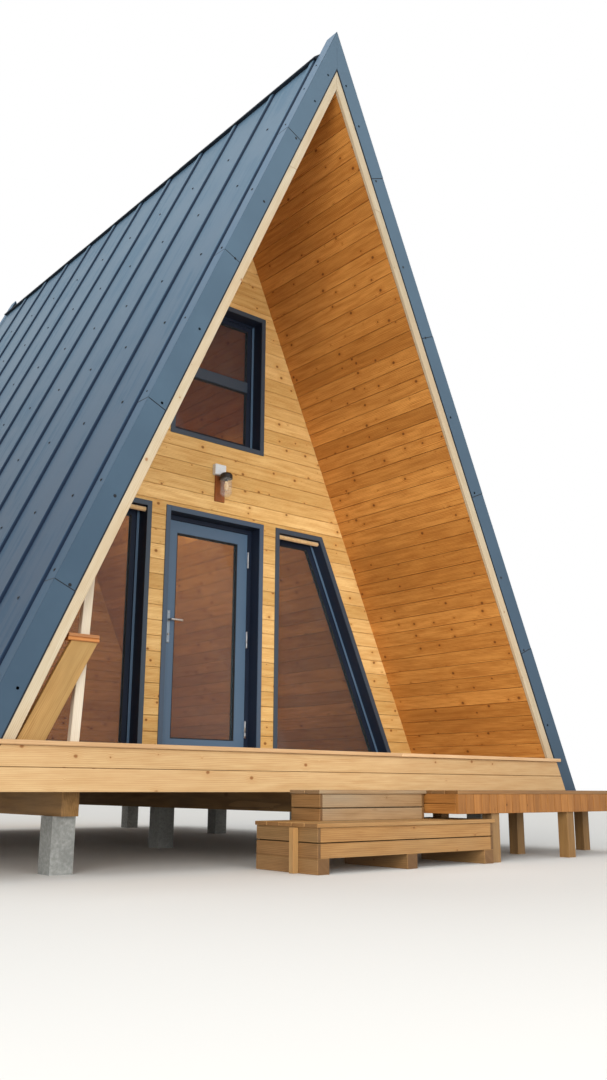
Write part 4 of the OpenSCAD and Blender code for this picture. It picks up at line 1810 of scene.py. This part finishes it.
    def _plate(self) -> None:
        """Adds the handle plate with its screws and the lock cylinder."""
        low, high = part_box("handle_plate")
        b = self.start("handle_plate_steel", 54)
        b.box(low, high, Finish.PLATE, Axis.Z, 0.0025)
        x = (low.x + high.x) / 2
        lock = low.z + self.lock_rise
        screw = ((0.0, 0.0), (0.0045, 0.0), (0.0030, 0.0012), (0.0, 0.0014))
        cylinder = ((0.0, 0.0), (0.0088, 0.0), (0.0084, 0.006), (0.0, 0.0064))
        for profile, z, sides in (
            (screw, low.z + 0.018, 14), (screw, high.z - 0.018, 14), (cylinder, lock, 20),
        ):
            b.turned(profile, Vector((x, low.y, z)), AHEAD, Finish.CHROME, sides)
        y = low.y - 0.006
        slot = ((x - 0.0009, y - 0.0008, lock - 0.004), (x + 0.0009, y, lock + 0.004))
        b.box(*slot, Finish.RUBBER, Axis.Z, 0.0)
        b.finish("door", "steel", "handle_plate")

    def _lever(self) -> None:
        """Adds rose, neck and curved lever in satin steel."""
        low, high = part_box("door_lever")
        b = self.start("lever_handle", 55)
        r, bend = (high.z - low.z) / 2, self.bend
        x, z = low.x + r, (low.z + high.z) / 2
        back, bar = high.y, low.y + r
        rose = ((0.0, 0.0), (r, 0.0), (r, 0.010), (r * 0.88, 0.012))
        b.turned(rose, Vector((x, back, z)), AHEAD, Finish.STEEL, 20)
        path = [(x, back - 0.002), (x, bar + bend)]
        for turn in (math.pi / 2 * i / 6 for i in range(1, 7)):
            path.append((x + bend * (1 - math.cos(turn)), bar + bend * (1 - math.sin(turn))))
        path += [(high.x - 0.012, bar), (high.x - 0.003, bar), (high.x, bar)]
        b.tube([Vector((px, py, z)) for px, py in path], r * 0.96, Finish.STEEL, 16)
        b.finish("lever", "steel", "door_lever")


@dataclass(frozen=True)
class FixedWindow(SubAssembly):
    """A fixed window: flat trim, lining and stepped frame painted dark as shade, a painted
    highlight on the jambs, seals and panes.
    """

    name: str
    bar_rise: float | None = None
    bar_face: float = 0.108
    bar_shadow: float = 0.014
    deep: float = 0.060
    step: float = 0.024
    step_back: float = 0.012
    seal: float = 0.008
    # Thickness of the jambs' painted highlight
    line: float = 0.0015

    @property
    def upper(self) -> bool:
        """Whether it is the one above the door, which is square."""
        return self.name == "upper"

    def outline(self, inset: float, rise: float) -> list[Pair]:
        """Gives the corners of an outline, going round.

        Args:
            inset: How far it is drawn in from the trim's outer edge at the sides and the head.
            rise: How far its lower edge lies above the trim's.

        Returns:
            Four corners in X and Z.
        """
        s = self.sizes
        low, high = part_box(f"{self.name}_window_frame")
        z0, z1 = low.z + rise, high.z - inset
        if self.upper:
            x0, x1 = low.x + inset, high.x - inset
            return [(x0, z0), (x1, z0), (x1, z1), (x0, z1)]
        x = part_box("right_window_frame")[0].x + inset
        depth = s.roof + s.window_strip + inset
        pts = [(x, z0), (s.half(z0, depth), z0), (s.half(z1, depth), z1), (x, z1)]
        return [(-x, z) for x, z in pts] if self.name == "left" else pts

    def build(self) -> None:
        """Builds the frame and dresses the glass."""
        s = self.sizes
        node = f"{self.name}_window_frame"
        low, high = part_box(node)
        pane = f"{self.name}_window_glass"
        g0, g1 = (corner.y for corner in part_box(pane))
        wall = low.y + s.face_trim
        face = g0 - (self.deep - (g1 - g0)) / 2
        back = face + self.deep
        floor = s.flange if self.upper else s.sill
        hole = s.flange - s.lining
        clear = self.outline(s.flange, floor)
        step = self.outline(s.flange + self.step, floor + self.step)
        sight_in, sight_up = s.flange + s.win_face, floor + s.win_face
        sight = self.outline(sight_in, sight_up)
        bead = self.outline(sight_in + self.seal, sight_up + self.seal)
        edge, bore = self.outline(0.0, 0.0), self.outline(hole, hole if self.upper else 0.0)
        trim = self.outline(s.flange, s.flange if self.upper else 0.0)
        b = self.start(f"{self.name}_window_surround", 61)
        b.ring(edge, trim, low.y, wall, Finish.FRAME, 0.0015)
        # The lining and the frame's steps, painted nearly black as the reveal's shade
        b.ring(bore, clear, wall, high.y, Finish.REVEAL_SHADE, 0.0)
        b.ring(clear, step, face, back, Finish.REVEAL_SHADE, 0.002)
        # Painted highlight on the jambs' front step
        self._jamb_highlights(b, clear, step, face)
        b.ring(step, sight, face + self.step_back, back, Finish.REVEAL_SHADE, 0.002)
        for y0, y1 in ((g0 - s.seal_depth, g0), (g1, g1 + s.seal_depth)):
            b.ring(sight, bead, y0, y1, Finish.RUBBER, 0.001)
        if self.bar_rise is not None:
            x = high.x - sight_in
            z0 = low.z + self.bar_rise
            z1 = z0 + self.bar_face
            b.box((-x, face, z0), (x, back, z1), Finish.FRAME, Axis.X, 0.002)
            # Below the bar a black strip as tall as its shadow, a painted shadow; above it a seal
            for za, zb in ((z0 - self.bar_shadow, z0), (z1, z1 + self.seal)):
                b.box((-x, g0 - s.seal_depth, za), (x, g0, zb), Finish.RUBBER, Axis.X, 0.001)
        b.finish("cabin", "frame_metal", node)
        self.palette.dress(Finish.GLASS, pane)

    def _jamb_highlights(
        self, b: Builder, clear: Sequence[Pair], step: Sequence[Pair], face: float
    ) -> None:
        """Adds a painted highlight: a lighter face on the frame's front step, on both jambs.

        Args:
            b: The builder.
            clear: Outline of the lining's inside.
            step: Outline of the step's inside.
            face: Place of the frame's face.
        """
        for foot, head in ((0, 3), (1, 2)):
            ends = [outline[i] for outline in (clear, step) for i in (foot, head)]
            corners = []
            for along, across, back in CORNERS:
                x, z = ends[along + 2 * across]
                corners.append(Vector((x, face if back else face - self.line, z)))
            b.hexa(corners, Finish.DOOR, (0.0, 0.0, 0.0))


@dataclass(frozen=True)
class BlindRolls(SubAssembly):
    """Rolled blinds under the heads of the side windows, a little uneven along their length."""

    def build(self) -> None:
        """Builds both rolls."""
        low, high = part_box("blind_rolls")
        b = self.start("rolled_blinds", 71)
        r = (high.z - low.z) / 2
        y, z = (low.y + high.y) / 2, (low.z + high.z) / 2
        inner = min(abs(v.co.x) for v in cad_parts["blind_rolls"].data.vertices)
        long = high.x - inner
        profile = (
            (0.0, 0.0), (r * 0.92, 0.0), (r * 0.99, 0.004), (r * 0.95, long * 0.2),
            (r * 0.99, long * 0.5), (r * 0.94, long * 0.8), (r * 0.99, long - 0.004),
            (r * 0.9, long), (0.0, long),
        )
        for side in SIDES:
            b.turned(profile, Vector((side * inner, y, z)), Vector((side, 0, 0)), Finish.CLOTH, 28)
        b.finish("cabin", "blind_cloth", "blind_rolls")


# Steps, side deck and porch fittings


@dataclass(frozen=True)
class StepFlight(SubAssembly):
    """Two timber steps of wide boards, the lower one wrapping round the upper."""

    board: float = 0.095
    gap: float = 0.0065
    tread_gap: float = 0.004
    lip: float = 0.015
    tread: float = 0.026
    side: float = 0.026
    batten: float = 0.010
    batten_high: float = 0.040
    block: float = 0.1
    stake: Pair = (0.190, 0.235)
    soft: float = 0.003

    def build(self) -> None:
        """Builds both steps and what they stand on."""
        self._step("upper_step", Finish.STEP_GREY, 81, 2)
        self._step("lower_step", Finish.STEP_GOLD, 82, 5)
        self._feet()

    def _step(self, node: str, front: Finish, seed: int, treads: int) -> None:
        """Adds tread boards over two riser boards on each of three sides.

        Args:
            node: The CAD step.
            front: Finish of its treads and its front.
            seed: Seed of the boards' tints.
            treads: Number of tread boards.
        """
        low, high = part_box(node)
        b = self.start(f"{node}_boards", seed)
        back, soft = high.y, self.soft
        under = high.z - self.tread
        b.planks((low.x, low.y, under), high, treads, self.tread_gap, front, soft)
        x0, x1, y0 = low.x + self.lip, high.x - self.lip, low.y + self.lip
        joint, y1 = under - self.board, y0 + self.side
        in0, in1 = x0 + self.side, x1 - self.side
        for z0, z1 in ((joint + self.gap / 2, under), (low.z, joint - self.gap / 2)):
            b.box((in0, y0, z0), (in1, y1, z1), front, Axis.X, soft)
            for a, c in ((x0, in0), (in1, x1)):
                b.box((a, y0, z0), (c, back, z1), Finish.STEP_SIDE, Axis.Y, soft)
        # Dark battens behind the riser joint paint the shade in the gap
        y2 = y1 + self.batten
        z0, z1 = joint - self.batten_high / 2, joint + self.batten_high / 2
        b.box((in0, y1, z0), (in1, y2, z1), Finish.CORE, Axis.X, 0.001)
        for a, c in ((in0, in0 + self.batten), (in1 - self.batten, in1)):
            b.box((a, y2, z0), (c, back, z1), Finish.CORE, Axis.Y, 0.001)
        b.finish("cabin", "step_timber", node)

    def _feet(self) -> None:
        """Adds blocks under the lower step and the pale stake beside it."""
        b = self.start("step_feet_blocks", 83)
        low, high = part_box("step_feet")
        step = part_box("lower_step")
        x0, x1, y0 = step[0].x + self.lip, step[1].x - self.lip, step[0].y + self.lip
        wide, top = self.block, step[0].z
        for x in (x0, (x0 + x1 - wide) / 2, x1 - wide):
            b.box((x, y0, 0.0), (x + wide, high.y, top), Finish.STEP_SIDE, Axis.Y, self.soft)
        near, far = (low.x, y0 + self.stake[0], 0.0), (x0, y0 + self.stake[1], high.z)
        b.box(near, far, Finish.STEP_GOLD, Axis.Z, self.soft)
        b.finish("cabin", "step_timber", "step_feet")


@dataclass(frozen=True)
class SideDeck(SubAssembly):
    """Low deck beside the steps, with a skirt of upright boards."""

    planks: int = 5
    plank_gap: float = 0.005
    pitch: float = 0.0875
    skirt: float = 0.024
    skirt_gap: float = 0.0032
    side_gap: float = 0.0024

    def build(self) -> None:
        """Builds the boards and the skirt and dresses the posts."""
        low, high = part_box("side_deck_boards")
        b = self.start("side_deck_planks", 84)
        b.planks(low, high, self.planks, self.plank_gap, Finish.SIDE_DECK, 0.003)
        b.finish("cabin", "deck_timber", "side_deck_boards")
        self._skirt()
        self.palette.dress(Finish.STUD, "side_deck_posts")

    def _skirt(self) -> None:
        """Adds upright boards in front, and two level ones at each end."""
        low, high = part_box("side_deck_skirt")
        b = self.start("side_deck_skirting", 85)
        count = round((high.x - low.x) / self.pitch)
        wide = (high.x - low.x) / count
        edge, back = self.skirt_gap / 2, low.y + self.skirt
        for i in range(count):
            x0, x1 = low.x + i * wide + edge, low.x + (i + 1) * wide - edge
            b.box((x0, low.y, low.z), (x1, back, high.z), Finish.SKIRT, Axis.Z, 0.0025)
        half, edge = (low.z + high.z) / 2, self.side_gap / 2
        for x0, x1 in ((low.x, low.x + self.skirt), (high.x - self.skirt, high.x)):
            for z0, z1 in ((low.z, half - edge), (half + edge, high.z)):
                b.box((x0, back, z0), (x1, high.y, z1), Finish.SKIRT, Axis.Y, 0.0025)
        b.finish("cabin", "skirt_timber", "side_deck_skirt")


@dataclass(frozen=True)
class PorchStore(SubAssembly):
    """Post, leaning board and its cap at the porch's left end."""

    post_x: float = 2.136
    post_w: float = 0.062
    post_lean: float = 2.5
    foot_gap: float = 0.021
    top_gap: float = 0.061
    board_w: float = 0.185

    def build(self) -> None:
        """Builds the three pieces."""
        self._post()
        self._board()
        b = self.start("board_cap", 93)
        low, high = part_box("store_cap")
        mid = (low.z + high.z) / 2
        for step, z0, z1 in ((0.0, low.z, mid - 0.001), (0.003, mid, high.z)):
            near = (low.x + step, low.y + step, z0)
            b.box(near, (high.x, high.y, z1), Finish.CAP, Axis.X, 0.003)
        b.finish("cabin", "larch", "store_cap")

    def _post(self) -> None:
        """Adds the post, cut level at the deck and along the roof lining at its top."""
        s = self.sizes
        b = self.start("porch_post", 91)
        low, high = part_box("store_post")
        lean = math.tan(math.radians(self.post_lean))
        half = self.post_w / 2 / math.cos(math.radians(self.post_lean))
        run = s.apex(s.roof + s.fit) / s.slope
        corners = []
        for top, right, back in CORNERS:
            x, z = -self.post_x + (half if right else -half), low.z
            if top:
                z = (run + x - lean * s.deck) / (1 / s.slope - lean)
                x += lean * (z - s.deck)
            corners.append(Vector((x, high.y if back else low.y, z)))
        b.hexa(corners, Finish.POST, (0.001, 0.003, 0.003))
        b.finish("cabin", "pale_timber", "store_post")

    def _board(self) -> None:
        """Adds the board that leans a little more than the roof does."""
        s = self.sizes
        b = self.start("leaning_board", 92)
        low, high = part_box("store_board")
        corners = []
        for top, right, back in CORNERS:
            z, gap = (high.z, self.top_gap) if top else (low.z, self.foot_gap)
            x = -s.half(z, s.roof) + gap + right * self.board_w
            corners.append(Vector((x, high.y if back else low.y, z)))
        b.hexa(corners, Finish.PLANK, (0.001, 0.004, 0.004))
        b.finish("cabin", "pale_timber", "store_board")


@dataclass(frozen=True)
class WallLamp(SubAssembly):
    """Lamp above the door: white box, copper back plate, dark cap, and a jar with its bulb."""

    arm: float = 0.014
    arm_levels: Pair = (0.010, 0.034)
    jar_round: float = 0.036
    jar_ribs: tuple[float, ...] = (0.045, 0.075, 0.105)
    socket: Pair = (0.013, 0.026)
    bulb: tuple[Pair, ...] = (
        (0.010, 0.024), (0.014, 0.036), (0.020, 0.060), (0.0225, 0.080),
        (0.019, 0.100), (0.010, 0.112), (0.0, 0.115),
    )

    def build(self) -> None:
        """Builds the lamp's pieces."""
        for node, name, finish, slot in (
            ("lamp_plate", "lamp_back_plate", Finish.COPPER, "copper_plate"),
            ("lamp_box", "lamp_junction_box", Finish.WHITE, "white_plastic"),
        ):
            b = self.start(name, 94)
            b.box(*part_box(node), finish, Axis.Z, 0.005)
            b.finish("cabin", slot, node)
        low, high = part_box("lamp_jar")
        x, y = (low.x + high.x) / 2, (low.y + high.y) / 2
        self._cap(x, y)
        self._jar(Vector((x, y, low.z)), (high.x - low.x) / 2, high.z - low.z)
        b = self.start("lamp_bulb", 97)
        top = Vector((x, y, high.z))
        r, deep = self.socket
        b.turned(((0.0, 0.0), (r, 0.0), (r, deep), (0.0, deep)), top, -UP, Finish.DARK, 20)
        b.turned(self.bulb, top, -UP, Finish.BULB, 28)
        b.finish("cabin", "glass")

    def _cap(self, x: float, y: float) -> None:
        """Adds the cap with its bead, and the arm that holds it.

        Args:
            x: Place of the jar's axis.
            y: The same, along the cabin.
        """
        low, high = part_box("lamp_cap")
        b = self.start("lamp_cap_and_arm", 95)
        r, tall = (high.x - low.x) / 2, high.z - low.z
        shape = (
            (0.0, 0.0), (1.0, 0.0), (1.0, 0.25), (0.96, 0.30), (1.0, 0.36),
            (1.0, 0.62), (0.8, 0.84), (0.42, 0.96), (0.0, 1.0),
        )
        profile = [(r * wide, tall * high) for wide, high in shape]
        b.turned(profile, Vector((x, y, low.z)), UP, Finish.DARK, 36)
        z0, z1 = (low.z + rise for rise in self.arm_levels)
        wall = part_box("lamp_plate")[0].y
        b.box((x - self.arm, y, z0), (x + self.arm, wall, z1), Finish.DARK, Axis.Y, 0.004)
        b.finish("cabin", "dark_plastic", "lamp_cap")

    def _jar(self, foot: Vector, r: float, tall: float) -> None:
        """Adds the jar with its round bottom and three faint ribs.

        Args:
            foot: Lowest point of its axis.
            r: Its radius.
            tall: Its height.
        """
        b = self.start("lamp_jar_glass", 96)
        bottom = self.jar_round
        skin = [(0.0, 0.0)]
        for turn in (math.pi / 2 * i / 8 for i in range(9)):
            skin.append((r - bottom + bottom * math.sin(turn), bottom - bottom * math.cos(turn)))
        b.turned(skin + [(r, tall)], foot, UP, Finish.JAR, 40)
        for z in self.jar_ribs:
            rib = ((r - 0.0012, z - 0.003), (r - 0.0002, z), (r - 0.0012, z + 0.003))
            b.turned(rib, foot, UP, Finish.JAR, 40)
        b.finish("cabin", "glass", "lamp_jar")


# Studio


@dataclass(frozen=True)
class Lamp:
    """A round soft lamp: where it hangs, what it looks at, its power and size."""

    name: str
    at: Point
    to: Point
    watts: float
    size: float
    spread: float = 180.0

    def build(self) -> None:
        """Hangs the lamp."""
        data = bpy.data.lights.new(self.name, "AREA")
        data.shape, data.size, data.energy = "DISK", self.size, self.watts
        data.spread = math.radians(self.spread)
        obj = bpy.data.objects.new(self.name, data)
        obj.location = self.at
        way = Vector(self.to) - Vector(self.at)
        obj.rotation_euler = way.to_track_quat("-Z", "Y").to_euler()
        obj.visible_glossy = obj.visible_camera = False
        bpy.context.scene.collection.objects.link(obj)


@dataclass(frozen=True)
class Studio:
    """Pale floor, soft lamps and the photograph's camera."""

    ground: str = "#e9e8e4"
    sky: str = "#ffffff"
    light: float = 0.85
    floor: float = 60.0
    lamps: tuple[Lamp, ...] = (
        # From the left, on the roof and the porch
        Lamp("key", (-12.0, -12.5, 4.0), (0.0, -1.0, 3.0), 980.0, 7.0),
        # From the front, into the porch
        Lamp("fill", (-3.0, -15.0, 1.6), (0.3, -1.5, 1.6), 740.0, 7.0),
        # A little on the porch's right side
        Lamp("porch", (-2.6, -5.8, 2.2), (2.6, -2.1, 1.3), 15.0, 1.4, 60.0),
        # In the room, so that its boards show behind the glass
        Lamp("room", (0.0, 1.1, 4.4), (0.0, 1.1, 0.8), 165.0, 1.4),
    )
    camera_at: Point = (-5.0857, -8.6992, 0.5405)
    camera_turns: Point = (40.1189, 13.9775, 0.2920)
    focal_pixels: float = 991.5574
    photo_height: float = 1080.0
    sensor: float = 24.0

    def build(self) -> None:
        """Sets up floor, world, lamps and camera."""
        self._floor()
        self._world()
        for lamp in self.lamps:
            lamp.build()
        self._camera()
        bpy.context.scene.view_settings.view_transform = "Standard"

    def _floor(self) -> None:
        """Lays the painted floor."""
        mesh = bpy.data.meshes.new("studio_floor")
        e = self.floor
        mesh.from_pydata([(-e, -e, 0), (e, -e, 0), (e, e, 0), (-e, e, 0)], [], [(0, 1, 2, 3)])
        obj = bpy.data.objects.new("studio_floor", mesh)
        bpy.context.scene.collection.objects.link(obj)
        mesh.materials.append(FloorPaint("studio_floor_paint", self.ground).material())

    def _world(self) -> None:
        """Lights the object evenly, and shows white to the camera, to gloss and through glass."""
        world = bpy.data.worlds.new("studio")
        bpy.context.scene.world = world
        world.use_nodes = True
        g = Graph(world.node_tree)
        share = g.add(Node.RAYS)
        rays = share.node.outputs
        for kind in ("Is Glossy Ray", "Is Transmission Ray"):
            share = g.add(Node.LARGER, share, rays[kind])
        lit = g.add(Node.BACKGROUND, linear("#ffffff"), self.light)
        seen = g.add(Node.BACKGROUND, linear(self.sky), 1.0)
        g.add(Node.WORLD, g.add(Node.CHOICE, share, lit, seen))

    def _camera(self) -> None:
        """Sets the camera that was solved from the photograph."""
        data = bpy.data.cameras.new("photo_camera")
        data.sensor_fit = "VERTICAL"
        data.sensor_width = data.sensor_height = self.sensor
        data.lens = self.focal_pixels / self.photo_height * self.sensor
        data.clip_start, data.clip_end = 0.05, 300.0
        obj = bpy.data.objects.new("photo_camera", data)
        yaw, pitch, roll = (math.radians(turn) for turn in self.camera_turns)
        level = Vector((math.sin(yaw), math.cos(yaw), 0.0))
        ahead = level * math.cos(pitch) + UP * math.sin(pitch)
        right = Vector((math.cos(yaw), -math.sin(yaw), 0.0))
        up = right.cross(ahead)
        side = right * math.cos(roll) + up * math.sin(roll)
        top = up * math.cos(roll) - right * math.sin(roll)
        obj.location = self.camera_at
        obj.rotation_mode = "QUATERNION"
        obj.rotation_quaternion = Matrix((side, top, -ahead)).transposed().to_quaternion()
        bpy.context.scene.collection.objects.link(obj)
        bpy.context.scene.camera = obj


def main() -> None:
    """Builds every sub-assembly in order."""
    logging.basicConfig(level=logging.INFO, format="%(name)s: %(message)s")
    sizes = CabinSizes.from_frame()
    palette = Palette()
    common = (sizes, palette)
    for part in (
        Studio(),
        RoofCovering(*common),
        RakeTrim(*common, front=True),
        RakeTrim(*common, front=False),
        BargeBoards(*common),
        RoofLining(*common),
        GableWalls(*common),
        DeckAndFloor(*common),
        EntranceDoor(*common),
        FixedWindow(*common, "upper", bar_rise=0.668),
        FixedWindow(*common, "left"),
        FixedWindow(*common, "right"),
        BlindRolls(*common),
        StepFlight(*common),
        SideDeck(*common),
        PorchStore(*common),
        WallLamp(*common),
    ):
        LOG.info("building %s", type(part).__name__)
        part.build()


if __name__ == "__main__":
    main()
